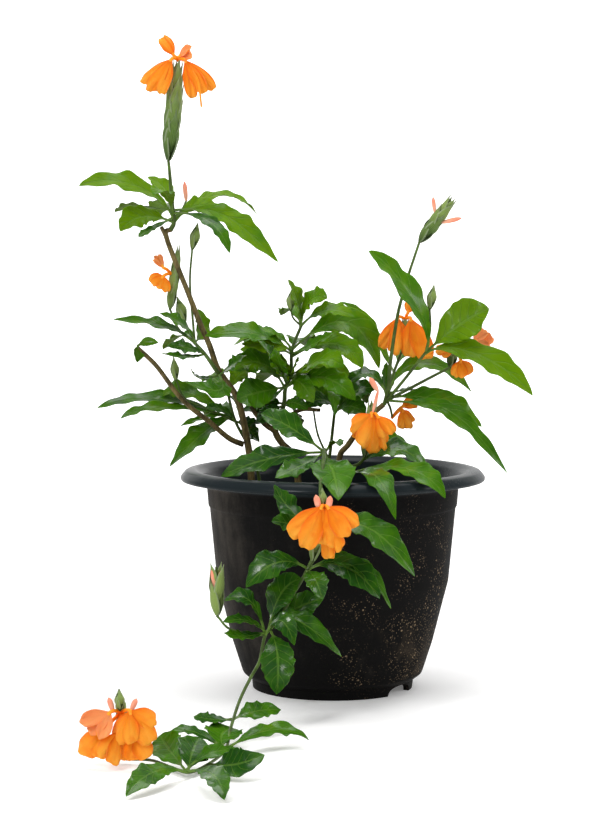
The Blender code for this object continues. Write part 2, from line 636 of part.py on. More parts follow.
# Blooms: the joint where the tubes of a head meet, then for each flower its neck, the tip of its
# middle lobe, the roll of its fan, the spread of the lobes in degrees and their number
BLOOMS = {
    "bloom_top": ((-135.6, 553.7, -8.3), [
        ((-141, 555, -14), (-165, 525, -22), 58, 62, 3),
        ((-139, 558, -8), (-151, 577, -7), 60, 60, 2),
        ((-133, 559, -5), (-121, 562, 6), 40, 80, 2),
        ((-131, 555.5, -14), (-110, 525, -22), 58, 68, 3)]),
    "bloom_left": ((-142.6, 367, 10.1), [
        ((-149, 365, 4), (-158, 354, 0), 60, 130, 4),
        ((-149, 372, 8), (-157.5, 383, 8), 50, 60, 3)]),
    "bloom_right": ((64, 327, 18.6), [
        ((57.5, 329, 13), (53.5, 291, 9), 64, 62, 4),
        ((68.5, 328, 12), (76.5, 288, 7), 64, 50, 3),
        ((66, 332, 16), (69, 343, 15), 60, 70, 2)]),
    "bloom_far_right": ((109, 299, 3), [
        ((124, 307, 2), (142, 310, 4), 55, 110, 4),
        ((106, 302, 0), (91, 297, -3), 50, 80, 3),
        ((113, 291, -1), (115.5, 273, -4), 60, 100, 4)]),
    "bloom_middle": ((35, 243, -56.7), [
        ((34, 243, -64), (31.5, 207.5, -74), 62, 128, 5),
        ((39, 242, -62), (52, 221, -66), 60, 55, 2)]),
    "bloom_behind": ((52.7, 240, 12.8), [
        ((61, 247, 14), (69, 230, 14), 58, 84, 3),
        ((61, 249, 16), (76, 258, 16), 45, 60, 2)]),
    "bloom_front": ((-7, 160, -166.3), [
        ((-11, 160, -175), (-28, 123, -186), 62, 62, 3),
        ((-3, 160, -175), (19, 133, -186), 62, 60, 3),
        ((-4, 152, -176), (0, 112, -182), 62, 50, 3)]),
    "bloom_floor": ((-188.5, -24, -320.6), [
        ((-181, -23, -336), (-171, -56, -346), 60, 130, 5),
        ((-198, -24, -332), (-220, -46, -338), 55, 90, 4),
        ((-203, -40, -330), (-219, -68, -334), 55, 80, 4),
        ((-192, -42, -334), (-196, -72, -340), 60, 90, 4),
        ((-178, -45, -336), (-171, -72, -342), 60, 80, 3)]),
}
BUDS = {
    "bud_tall_left": (seen(89.6, 419.9, -8), seen(88.0, 434.5, -8), 1.7),
    "bud_tall_right": (seen(94.7, 411.6, -8), seen(113.5, 416, -8), 2.0),
}
BLOOM_BUDS = {
    "bloom_front": [(seen(-7, 160, -173), seen(-16, 171, -172), 2.4),
                    (seen(-5, 160, -173), seen(0, 171, -175), 2.4)],
    "bloom_middle": [(seen(35, 243, -58), seen(40.5, 265, -60), 1.5),
                     (seen(40, 263, -60), seen(32.5, 275.5, -60), 2.4)],
    "bloom_floor": [(seen(-196, -24, -326), seen(-200, -11, -324), 2.2),
                    (seen(-180, -23, -330), seen(-175, -12, -326), 2.2)],
}


def pruned_leaf():
    """What is left of the leaves on the cut stem: one small leaf in two halves at its tip."""
    root = seen(-172, 303.5, -13.4)
    return [leaf([root, seen(-172, 297, -16), seen(-168, 288.5, -18)], 13, 60, 3),
            leaf([root, seen(-165, 306, -16), seen(-155, 307, -18)], 9, 60, 3)]


def bloom(name):
    joint, flowers = BLOOMS[name]
    joint = seen(*joint)
    pieces = []
    for neck, tip, roll, spread, lobes in flowers:
        pieces += corolla(joint, seen(*neck), seen(*tip), roll, spread, lobes)
    return pieces + [bud(*row) for row in BLOOM_BUDS.get(name, [])]


def plan():
    """Every node of the plant, as the closed pieces that are fused into it."""
    nodes = {
        "stem_old": [stem(OLD_STEM, girth("stem_old"), 2.4), stem(OLD_STEM_FORK, 2.2, 1.8, 1),
                     stem(PRUNED_STEM, 3.3, 2.6)],
        "stem_middle": [stem(MIDDLE_TRUNK, girth("stem_middle"), 2.8),
                        stem(MIDDLE_BACK_BRANCH, 3.0, 2.2, 1), stem(MIDDLE_SIDE_BRANCH, 2.4, 1.6)],
        "stem_right": [stem(RIGHT_TRUNK, girth("stem_right"), 2.3)],
        "shoot_top": top_shoot(),
        "shoot_left": left_shoot(),
        "shoot_low_left": low_left_shoot(),
        "shoot_middle": middle_shoot(),
        "shoot_low_middle": low_middle_shoot(),
        "shoot_right": right_shoot(),
        "shoot_low_right": low_right_shoot(),
        "shoot_trailing": trailing_shoot(),
        "leaf_pruned": pruned_leaf(),
    }
    for name, (before, end, top, radius, layers, turn) in SPIKES.items():
        nodes[name] = spike(seated(before, end, top), top, radius, layers, turn)
    for name in BLOOMS:
        nodes[name] = bloom(name)
    for name, row in BUDS.items():
        nodes[name] = [bud(*row)]
    return nodes


# ---------------------------------------------------------------------------------- the build
MATERIALS = {
    "pot_plastic": ((0.022, 0.023, 0.026), 0.5),
    "potting_soil": ((0.035, 0.022, 0.013), 0.95),
    "old_wood": ((0.07, 0.043, 0.018), 0.75),
    "leaf_green": ((0.045, 0.19, 0.02), 0.4),
    "bract_green": ((0.16, 0.3, 0.08), 0.6),
    "petal_orange": ((1.0, 0.29, 0.02), 0.55),
    "bud_peach": ((0.9, 0.36, 0.22), 0.55),
}


def material(name):
    colour, roughness = MATERIALS[name]
    made = bpy.data.materials.get(name)
    if made is None:
        made = bpy.data.materials.new(name)
        made.use_nodes = True
        shader = made.node_tree.nodes["Principled BSDF"]
        shader.inputs["Base Color"].default_value = (*colour, 1.0)
        shader.inputs["Roughness"].default_value = roughness
        shader.inputs["Metallic"].default_value = 0.0
    return made


def solid(name, points, faces, finish=None):
    mesh = bpy.data.meshes.new(name)
    mesh.from_pydata([tuple(p * MM) for p in points], [], faces)
    shape = bmesh.new()
    shape.from_mesh(mesh)
    bmesh.ops.recalc_face_normals(shape, faces=shape.faces)
    if shape.calc_volume(signed=True) < 0.0:
        bmesh.ops.reverse_faces(shape, faces=shape.faces)
    shape.to_mesh(mesh)
    shape.free()
    made = bpy.data.objects.new(name, mesh)
    bpy.context.scene.collection.objects.link(made)
    if finish:
        mesh.materials.append(material(finish))
    return made


def apply_modifiers(made):
    """Keeps the shape that the modifiers give, and drops them."""
    graph = bpy.context.evaluated_depsgraph_get()
    shape = bpy.data.meshes.new_from_object(made.evaluated_get(graph))
    made.modifiers.clear()
    made.data = shape


def keep_largest(made):
    """Drops loose scraps and fills sealed hollows: only the largest closed skin stays."""
    shape = bmesh.new()
    shape.from_mesh(made.data)
    bmesh.ops.triangulate(shape, faces=shape.faces)
    left = set(shape.faces)
    skins = []
    while left:
        front = [left.pop()]
        skin = list(front)
        while front:
            face = front.pop()
            for edge in face.edges:
                for other in edge.link_faces:
                    if other in left:
                        left.discard(other)
                        front.append(other)
                        skin.append(other)
        skins.append(skin)
    skins.sort(key=len, reverse=True)
    scraps = [face for skin in skins[1:] for face in skin]
    bmesh.ops.delete(shape, geom=scraps, context="FACES")
    shape.to_mesh(made.data)
    shape.free()


def closed(mesh):
    shape = bmesh.new()
    shape.from_mesh(mesh)
    whole = all(edge.is_manifold for edge in shape.edges)
    shape.free()
    return whole


def thin_out(made):
    """Merges the slivers along the joints, with the first share of triangles that stays closed."""
    whole = made.data
    for share in KEPT_SHARES:
        slivers = made.modifiers.new("slivers", "DECIMATE")
        slivers.ratio = share
        apply_modifiers(made)
        if closed(made.data):
            return
        made.data = whole


def fuse(name, pieces, finish):
    """One solid from pieces that cross each other."""
    made = solid(name, *pieces[0], finish)
    if len(pieces) > 1:
        group = bpy.data.collections.new(name + "_pieces")
        bpy.context.scene.collection.children.link(group)
        for piece in pieces[1:]:
            other = solid(name + "_piece", *piece)
            bpy.context.scene.collection.objects.unlink(other)
            group.objects.link(other)
        union = made.modifiers.new("fuse", "BOOLEAN")
        union.operation = "UNION"
        union.operand_type = "COLLECTION"
        union.collection = group
        union.solver = "MANIFOLD"
        apply_modifiers(made)
        for other in list(group.objects):
            bpy.data.objects.remove(other)
        bpy.data.collections.remove(group)
        keep_largest(made)
        thin_out(made)
    made.data.materials.clear()
    made.data.materials.append(material(finish))
    return made


def revolved(profile, sides):
    """A closed solid turned round the pot's axis from a closed profile of (radius, height)."""
    points, rings, faces = [], [], []
    for radius, height in profile:
        count = 1 if radius == 0.0 else sides
        rings.append(list(range(len(points), len(points) + count)))
        for k in range(count):
            turn = 2 * math.pi * (k + 0.5) / sides
            points.append(Vector((radius * math.sin(turn), -radius * math.cos(turn), height)))
    for a, b in zip(rings, rings[1:]):
        for k in range(sides):
            corners = [a[k % len(a)], a[(k + 1) % len(a)], b[(k + 1) % len(b)], b[k % len(b)]]
            face = [c for i, c in enumerate(corners) if c not in corners[:i]]
            if len(face) > 2:
                faces.append(face)
    return points, faces


def cut(made, cutters):
    group = bpy.data.collections.new(made.name + "_cutters")
    bpy.context.scene.collection.children.link(group)
    for cutter in cutters:
        bpy.context.scene.collection.objects.unlink(cutter)
        group.objects.link(cutter)
    difference = made.modifiers.new("cut", "BOOLEAN")
    difference.operation = "DIFFERENCE"
    difference.operand_type = "COLLECTION"
    difference.collection = group
    apply_modifiers(made)
    for cutter in list(group.objects):
        bpy.data.objects.remove(cutter)
    bpy.data.collections.remove(group)


def rod(x, y, low, high, radius, sides=6):
    path = [Vector((x, y, low)), Vector((x, y, high))]
    return solid("cutter", *tube(path, radius, radius, sides))


def notch(turn):
    """An arched opening cut through the foot ring."""
    angle = math.radians(turn)
    outward = Vector((math.sin(angle), -math.cos(angle), 0.0))
    across = Vector((math.cos(angle), math.sin(angle), 0.0))
    arch = [(-0.5, -3.0), (-0.5, 0.0), (-0.33, 0.75), (0.0, 1.0), (0.33, 0.75), (0.5, 0.0), (0.5, -3.0)]
    count = len(arch)
    points = []
    for reach in (FOOT_INNER - 8.0, FOOT_OUTER + 8.0):
        for u, v in arch:
            height = v * NOTCH_HEIGHT if v > 0.0 else v
            points.append(outward * reach + across * u * NOTCH_WIDTH + Vector((0.0, 0.0, height)))
    faces = [list(range(count)), list(range(2 * count - 1, count - 1, -1))]
    for k in range(count):
        faces.append([k, (k + 1) % count, (k + 1) % count + count, k + count])
    return solid("cutter", points, faces)


def pot():
    under = [(0.0, 0.0), (PAD_RADIUS, 0.0), (PAD_RADIUS, FLOOR_UNDER), (FOOT_INNER, FLOOR_UNDER),
             (FOOT_INNER, 0.0), (FOOT_OUTER, 0.0), (FOOT_OUTER + 1.0, FLOOR_UNDER - 0.5)]
    profile = under + WALL_OUTSIDE + RIM_UNDER + RIM_LIP + RIM_TOP
    profile += WALL_INSIDE[::-1] + [(0.0, FLOOR_TOP)]
    made = solid("pot", *revolved(profile, POT_SIDES), "pot_plastic")
    cutters = [notch(turn) for turn in NOTCH_TURNS]
    for k in range(DRAIN_COUNT):
        turn = 2 * math.pi * (k + 0.5) / DRAIN_COUNT
        cutters.append(rod(DRAIN_CIRCLE * math.cos(turn), DRAIN_CIRCLE * math.sin(turn),
                           FLOOR_UNDER - 4.0, FLOOR_TOP + 4.0, DRAIN_RADIUS))
    cut(made, cutters)
    made.data.shade_smooth()
    made.data.set_sharp_from_angle(angle=math.radians(40))


def soil():
    """The root ball: it fills the pot to a low crown, with a plain hole for every stem."""
    floor = WALL_INSIDE[0]
    edge = WALL_INSIDE[-1][0] - SOIL_CLEAR - 0.2
    profile = [(0.0, FLOOR_TOP + SOIL_CLEAR), (floor[0] - SOIL_CLEAR, floor[1] + SOIL_CLEAR)]
    profile += [(radius - SOIL_CLEAR, height) for radius, height in WALL_INSIDE[1:-1]]
    profile += [(edge, SOIL_EDGE), (64.0, SOIL_EDGE + 3.5), (0.0, SOIL_CROWN)]
    made = solid("soil", *revolved(profile, POT_SIDES), "potting_soil")
    holes = []
    for x, y, radius in FEET.values():
        across_corners = (radius + HOLE_CLEAR) * HOLE_CORNERS
        holes.append(rod(x, y, STEM_FOOT - 2.0, SOIL_CROWN + 6.0, across_corners))
    cut(made, holes)


FINISHES = {"stem": "old_wood", "shoot": "leaf_green", "leaf": "leaf_green", "spike": "bract_green",
            "bloom": "petal_orange", "bud": "bud_peach"}


def main():
    for old in list(bpy.data.objects):
        bpy.data.objects.remove(old)
    pot()
    soil()
    for name, pieces in plan().items():
        fuse(name, pieces, FINISHES[name.split("_")[0]])


main()
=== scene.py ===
# %% [markdown]
# # An orange crossandra in its black pot
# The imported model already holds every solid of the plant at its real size. This script dresses it:
# it grows fine leaves, bracts and petals where the plain solids stand, and gives each surface its
# finish. All the plan's points are in millimetres and are turned into metres when a mesh is made.

import math
import random

import bmesh
import bpy
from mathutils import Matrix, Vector


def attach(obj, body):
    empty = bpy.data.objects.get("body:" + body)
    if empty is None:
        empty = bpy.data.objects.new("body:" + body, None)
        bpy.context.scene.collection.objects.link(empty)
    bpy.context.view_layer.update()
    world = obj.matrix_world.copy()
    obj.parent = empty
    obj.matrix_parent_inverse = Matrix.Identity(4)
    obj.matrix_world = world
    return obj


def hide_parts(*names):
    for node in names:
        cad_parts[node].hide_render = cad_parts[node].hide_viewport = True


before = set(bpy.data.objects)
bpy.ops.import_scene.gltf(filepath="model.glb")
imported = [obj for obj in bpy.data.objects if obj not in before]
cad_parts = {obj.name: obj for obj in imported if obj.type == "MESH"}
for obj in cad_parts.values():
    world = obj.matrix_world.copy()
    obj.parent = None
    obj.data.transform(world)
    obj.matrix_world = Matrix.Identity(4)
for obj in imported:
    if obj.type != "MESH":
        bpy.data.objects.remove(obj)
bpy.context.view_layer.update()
MM = 0.001

# %% [markdown]
# ## Camera
# A long lens far away shows the pot almost in elevation, so the camera stands 2.1 m off at the
# height of a low table and looks down by a few degrees. A short lens close by would make the
# trailing shoot look much larger than the crown.

# %% Camera
def placed(name, data):
    """A new object in the scene."""
    made = bpy.data.objects.new(name, data)
    bpy.context.scene.collection.objects.link(made)
    return made


EYE = Vector((-29.0, -2130.0, 410.0))
LOOK_DOWN = math.radians(4.413)
LENS = 105.7
LONG_SIDE_SENSOR = 36.0

camera_data = bpy.data.cameras.new("camera")
camera_data.lens = LENS
camera_data.sensor_width = LONG_SIDE_SENSOR
camera = placed("camera", camera_data)
camera.location = EYE * MM
camera.rotation_euler = (math.pi / 2 - LOOK_DOWN, 0.0, 0.0)
bpy.context.scene.camera = camera
bpy.context.scene.view_settings.view_transform = "Standard"
print("camera at", tuple(round(v, 3) for v in camera.location), "lens", LENS)

# %% [markdown]
# ## Shader and node maths
# A finish or a growing tree is a net of nodes, and most of its nodes only add or multiply. A Wire is
# one socket, and arithmetic on it adds the Math nodes to its tree, so a pattern reads like the
# formula that it is. Every other node comes from Net.node. The nets could also be drawn by hand in
# the editor, but then they couldn't be read or compared as text.

# %% Shader and node maths
class Wire:
    def __init__(self, net, socket):
        self.net = net
        self.socket = socket

    def math(self, operation, *values):
        return self.net.node("ShaderNodeMath", {"operation": operation}, dict(enumerate(values)))

    def __add__(self, other):
        return self.math("ADD", self, other)

    def __radd__(self, other):
        return self.math("ADD", other, self)

    def __sub__(self, other):
        return self.math("SUBTRACT", self, other)

    def __rsub__(self, other):
        return self.math("SUBTRACT", other, self)

    def __mul__(self, other):
        return self.math("MULTIPLY", self, other)

    def __rmul__(self, other):
        return self.math("MULTIPLY", other, self)

    def __truediv__(self, other):
        return self.math("DIVIDE", self, other)

    def __rtruediv__(self, other):
        return self.math("DIVIDE", other, self)

    def __abs__(self):
        return self.math("ABSOLUTE", self)

    def sin(self):
        return self.math("SINE", self)

    def cos(self):
        return self.math("COSINE", self)

    def sqrt(self):
        return self.math("SQRT", self)

    def sign(self):
        return self.math("SIGN", self)

    def above(self, limit):
        return self.math("GREATER_THAN", self, limit)

    def least(self, other):
        """The value, but at least the other."""
        return self.math("MAXIMUM", self, other)

    def most(self, other):
        """The value, but at most the other."""
        return self.math("MINIMUM", self, other)

    def ramp(self, low, high):
        """0 below low, 1 above high, with a smooth rise in between."""
        values = {"Value": self, "From Min": low, "From Max": high}
        return self.net.node("ShaderNodeMapRange", {"interpolation_type": "SMOOTHSTEP"}, values)

    def out(self, name):
        """Another output of the node that this socket belongs to."""
        return Wire(self.net, self.socket.node.outputs[name])


class Net:
    """A node tree, with one method that adds any node to it."""

    def __init__(self, tree):
        self.tree = tree

    def node(self, kind, settings=None, values=None):
        made = self.tree.nodes.new(kind)
        for key, value in (settings or {}).items():
            setattr(made, key, value)
        for key, value in (values or {}).items():
            if isinstance(key, int):
                socket = made.inputs[key]
            else:
                socket = next(s for s in made.inputs if s.name == key and s.enabled)
            if isinstance(value, Wire):
                self.tree.links.new(value.socket, socket)
            else:
                socket.default_value = value
        return Wire(self, next(s for s in made.outputs if s.enabled)) if made.outputs else None

    def blend(self, share, one, other):
        """A colour between two others."""
        values = {"Factor": share, "A": colour(one), "B": colour(other)}
        return self.node("ShaderNodeMix", {"data_type": "RGBA"}, values)

    def vector(self, operation, *values, scale=None):
        sockets = dict(enumerate(values))
        if scale is not None:
            sockets["Scale"] = scale
        return self.node("ShaderNodeVectorMath", {"operation": operation}, sockets)

    def noise(self, place, scale, detail=3.0, roughness=0.5):
        values = {"Vector": place, "Scale": scale, "Detail": detail, "Roughness": roughness}
        return self.node("ShaderNodeTexNoise", None, values)

    def note(self, name):
        """A number that is known at each point of the mesh, for a shader."""
        return self.node("ShaderNodeAttribute", {"attribute_name": name}).out("Fac")

    def known(self, name, kind="FLOAT"):
        """A number or a vector that is known at each point, for Geometry Nodes."""
        return self.node("GeometryNodeInputNamedAttribute", {"data_type": kind}, {"Name": name})

    def keep(self, shape, name, value, kind="FLOAT"):
        values = {"Geometry": shape, "Name": name, "Value": value}
        return self.node("GeometryNodeStoreNamedAttribute", {"data_type": kind}, values)


def colour(value):
    return value if isinstance(value, Wire) else (*value, 1.0)


print("Wire and Net are ready")

# %% [markdown]
# ## Finishes
# Every finish is worked out from what is known at the point: the place in the object, how far along
# a leaf it is and how far across. A painted picture could do the same, but a formula stays sharp at
# any distance, and every leaf gets a tone of its own.


# %% A finish
def finish(name, roughness=0.5, **settings):
    """A new material, its net and its Principled shader, with the numbers that don't vary set."""
    made = bpy.data.materials.new(name)
    made.use_nodes = True
    shader = made.node_tree.nodes["Principled BSDF"]
    shader.inputs["Roughness"].default_value = roughness
    for label, value in settings.items():
        shader.inputs[label.replace("_", " ")].default_value = value
    net = Net(made.node_tree)
    place = net.node("ShaderNodeTexCoord").out("Object")
    return made, net, shader, place


def feed(net, shader, label, value):
    net.tree.links.new(value.socket, shader.inputs[label])


def bump(net, shader, height, distance, strength=1.0):
    """Small relief: distance is what a height of 1 stands for, in metres."""
    values = {"Height": height, "Distance": distance, "Strength": strength}
    feed(net, shader, "Normal", net.node("ShaderNodeBump", None, values))


def split(net, place):
    """The x, y and z of a place."""
    parts = net.node("ShaderNodeSeparateXYZ", None, {"Vector": place})
    return parts.out("X"), parts.out("Y"), parts.out("Z")

# %% [markdown]
# ### Leaf
# A crossandra leaf is a glossy dark green above, with sunken side veins and a pale midrib, and a
# dull olive green below. Young leaves are yellow-green. The veins could be cut into the mesh alone,
# but the finest ones are thinner than its faces, so the mesh makes the swelling between the veins
# and the finish draws the lines, both from the same formula.

# %% Leaf finish
THIN = 0.001
VEINS = 8.0
VEIN_SLANT = 1.5
LEAF_OLD = (0.012, 0.062, 0.004)
LEAF_MID = (0.046, 0.15, 0.002)
LEAF_YOUNG = (0.105, 0.215, 0.001)
LEAF_UNDER = (0.06, 0.11, 0.006)
LEAF_VEIN = (0.12, 0.24, 0.03)
PETIOLE_GREEN = (0.125, 0.22, 0.04)


def vein_wave(along, across):
    """1 on a side vein, -1 half way between two of them."""
    return ((along * VEINS - abs(across) * VEIN_SLANT) * (2.0 * math.pi)).cos()


def leaf_finish():
    made, net, shader, place = finish("leaf", Specular_IOR_Level=0.05, Coat_Roughness=0.14,
                                      Subsurface_Weight=0.3, Subsurface_Scale=THIN,
                                      Subsurface_Radius=(0.5, 1.0, 0.1))
    along, across = net.note("along"), net.note("across")
    youth, face = net.note("tone"), net.note("face")
    clouds = net.noise(place, 60.0, 4.0)
    speck = net.noise(place, 900.0, 2.0)
    age = youth + (clouds - 0.5) * 1.1 + (along - 0.5) * 0.12
    green = net.blend(age.ramp(0.0, 0.55), LEAF_OLD, LEAF_MID)
    green = net.blend(age.ramp(0.45, 1.0), green, LEAF_YOUNG)
    side_vein = vein_wave(along, across).ramp(0.84, 1.0) * (1.0 - abs(across) * 0.6)
    middle = 1.0 - abs(across).ramp(0.02, 0.11)
    vein = side_vein.least(middle * 1.4).most(1.0) * (1.0 - along * 0.4)
    green = net.blend(vein * 0.6, green, LEAF_VEIN)
    under = net.blend(youth.ramp(0.2, 1.2) * 0.6, LEAF_UNDER, LEAF_YOUNG)
    under = net.blend(vein * 0.5, under, LEAF_VEIN)
    below = 1.0 - face.ramp(-0.1, 0.1)
    green = net.blend(below, green, under)
    stalk = 1.0 - along.ramp(0.12, 0.2)
    green = net.blend(stalk, green, PETIOLE_GREEN)
    feed(net, shader, "Base Color", green)
    feed(net, shader, "Roughness", 0.4 + below * 0.22 + (clouds - 0.5) * 0.2 + vein * 0.1)
    gloss = net.noise(place, 38.0, 2.0).ramp(0.4, 0.62)
    feed(net, shader, "Coat Weight", (0.04 + (1.0 - youth) * 0.8) * (1.0 - below * 0.8) * gloss)
    bump(net, shader, speck * 0.2 - vein * 1.3 + net.noise(place, 95.0, 1.0) * 2.2, 0.0005)
    return made


LEAF = leaf_finish()
print("finish:", LEAF.name)

# %% [markdown]
# ### Wood and young stems
# The old stems have thin olive-brown bark with lengthwise cracks; the young ones are green. One
# finish serves both: the tone that each stem carries says how woody it is.

# %% Stem finish
BARK_DARK = (0.035, 0.025, 0.007)
BARK_LIGHT = (0.18, 0.135, 0.045)
STEM_GREEN = (0.05, 0.085, 0.015)


def stem_finish():
    made, net, shader, place = finish("stem", Specular_IOR_Level=0.2, Coat_Weight=0.03)
    woody = net.note("tone")
    cracks = net.noise(net.vector("MULTIPLY", place, (1.0, 1.0, 0.18)), 900.0, 4.0, 0.65)
    patches = net.noise(place, 90.0, 4.0)
    bark = net.blend((cracks * 0.6 + patches * 0.6).ramp(0.42, 0.78), BARK_DARK, BARK_LIGHT)
    green = net.blend(patches.ramp(0.4, 0.85), STEM_GREEN, PETIOLE_GREEN)
    feed(net, shader, "Base Color", net.blend(woody + (patches - 0.5) * 0.4 * woody, green, bark))
    feed(net, shader, "Roughness", 0.45 + woody * 0.25 + (cracks - 0.5) * 0.2)
    bump(net, shader, cracks, 0.0006, 0.6)
    return made


STEM = stem_finish()
print("finish:", STEM.name)

# %% [markdown]
# ### Bract, petal and bud
# Bracts are grey-green and downy, so their edges look silvery. Petals are thin and paler at the rim,
# with fine lines that run out from the throat. Shade is painted into them as deeper orange at the
# throat, along each lobe's sides where the next lobe lies over it, and down its middle near the
# throat. A painted highlight lightens the middle of each lobe. Petals and flower tubes glow faintly
# in their own colour, and buds a little less: painted light for the light that shines through them.
# Buds are salmon pink; the flower tubes take the petal finish.

# %% Bract finish
BRACT_LOW = (0.062, 0.13, 0.018)
BRACT_HIGH = (0.24, 0.34, 0.08)
BRACT_DOWN = (0.34, 0.42, 0.24)
BRACT_ROOT = (0.025, 0.055, 0.008)


def bract_finish():
    made, net, shader, place = finish("bract", 0.6, Specular_IOR_Level=0.15, Sheen_Weight=0.1,
                                      Sheen_Roughness=0.4)
    along, across, tone = net.note("along"), net.note("across"), net.note("tone")
    clouds = net.noise(place, 160.0, 3.0)
    green = net.blend((tone + (clouds - 0.5) * 0.5).ramp(0.0, 1.0), BRACT_LOW, BRACT_HIGH)
    rib = (abs(across) * (9.0 * math.pi)).cos().ramp(0.5, 1.0)
    edge = abs(across).ramp(0.72, 1.0)
    down = (edge * 0.75).least(rib * 0.15).least(along.ramp(0.6, 1.0) * 0.45)
    green = net.blend((1.0 - along.ramp(0.0, 0.5)) * (1.0 - tone * 0.8) * 0.7, green, BRACT_ROOT)
    feed(net, shader, "Base Color", net.blend(down, green, BRACT_DOWN))
    bump(net, shader, rib + net.noise(place, 1500.0, 2.0) * 0.6, 0.0003)
    return made


BRACT = bract_finish()
print("finish:", BRACT.name)

# %% Petal finish
# Petal colours. The deep orange also paints in shade, and the pale one a highlight.
PETAL_DEEP_AND_SHADE = (0.8, 0.115, 0.001)
PETAL_MID = (0.9, 0.25, 0.006)
PETAL_PALE_AND_HIGHLIGHT = (0.95, 0.38, 0.035)
PETAL_BACK = (0.93, 0.33, 0.13)


def petal_finish():
    # The petal glows faintly in its own colour: painted light for the light that shines through it.
    made, net, shader, place = finish("petal", 0.55, Specular_IOR_Level=0.15, Emission_Strength=0.08,
                                      Subsurface_Weight=0.25, Subsurface_Scale=THIN,
                                      Subsurface_Radius=(1.0, 0.4, 0.1))
    along, across = net.note("along"), net.note("across")
    tone, crease_shade = net.note("tone"), net.note("crease_shade")
    clouds = net.noise(place, 110.0, 4.0)
    values = {"X": across * 90.0, "Y": along * 3.0, "Z": tone * 20.0}
    lines = net.noise(net.node("ShaderNodeCombineXYZ", None, values), 1.0, 2.0)
    # Paler towards the rim and at random, with a painted highlight down the middle of each lobe.
    pale_rim_and_highlight = along * 0.75 + clouds * 0.5 + (tone - 0.5) * 0.3 + (0.5 - abs(across)) * 0.4
    paint = net.blend(pale_rim_and_highlight.ramp(0.45, 1.25), PETAL_MID, PETAL_PALE_AND_HIGHLIGHT)
    # Painted shade: deeper orange in the creases and toward the throat, with darker blotches at random.
    depth = crease_shade.least((1.0 - along.ramp(0.02, 0.45)) * 0.7).least((0.52 - clouds).least(0.0) * 1.6)
    paint = net.blend(depth + (lines - 0.5) * 0.25, paint, PETAL_DEEP_AND_SHADE)
    back = (1.0 - net.note("face").ramp(-0.9, -0.5)) * 0.8
    back = back.least(abs(across).ramp(0.82, 1.0) * along.ramp(0.5, 1.0) * 0.15)
    paint = net.blend(back, paint, PETAL_BACK)
    feed(net, shader, "Base Color", paint)
    # The same colour glows faintly: painted light.
    feed(net, shader, "Emission Color", paint)
    bump(net, shader, lines * 0.7 + clouds, 0.0006)
    return made


PETAL = petal_finish()
print("finish:", PETAL.name)

# %% Bud finish
BUD_PINK = (0.85, 0.28, 0.17)
BUD_PALE = (0.88, 0.42, 0.28)


def bud_finish():
    # The bud glows faintly in its own colour: painted light for the light that shines through it.
    made, net, shader, place = finish("bud", 0.5, Specular_IOR_Level=0.2, Emission_Strength=0.05)
    along = net.note("along")
    clouds = net.noise(place, 200.0, 3.0)
    paint = net.blend((along + (clouds - 0.5) * 0.6).ramp(0.1, 0.9), BUD_PALE, BUD_PINK)
    feed(net, shader, "Base Color", paint)
    # The same colour glows faintly: painted light.
    feed(net, shader, "Emission Color", paint)
    bump(net, shader, clouds, 0.0004)
    return made


BUD = bud_finish()
print("finish:", BUD.name)

# %% [markdown]
# ### Pot and soil
# The pot is black moulded plastic that has stood outside. Its rolled rim was wiped and shines blue
# black, the wall is dull with brown dust that has run down it, and splashed grit clings to the lower
# right side. The same dust colour lightens the wall towards its left and right sides as seen from the
# front, as a painted sheen. Height and side are read from the place in the object, so the grit stays
# where it is when the pot is seen from behind.

# %% Pot finish
WALL_BLACK = (0.0062, 0.006, 0.0058)
# Dust colour, also laid on the wall's sides as a painted sheen.
WALL_DUST_AND_SHEEN = (0.062, 0.054, 0.045)
RIM_SLATE = (0.01, 0.015, 0.017)
RIM_GREY = (0.05, 0.062, 0.068)
GRIT_TAN = (0.5, 0.36, 0.22)
FOOT_TOP = 0.0135
WALL_TOP = 0.1815
INNER_WALL = 0.1077
SOIL_LINE = 0.1615
WALL_LEAN = 0.14


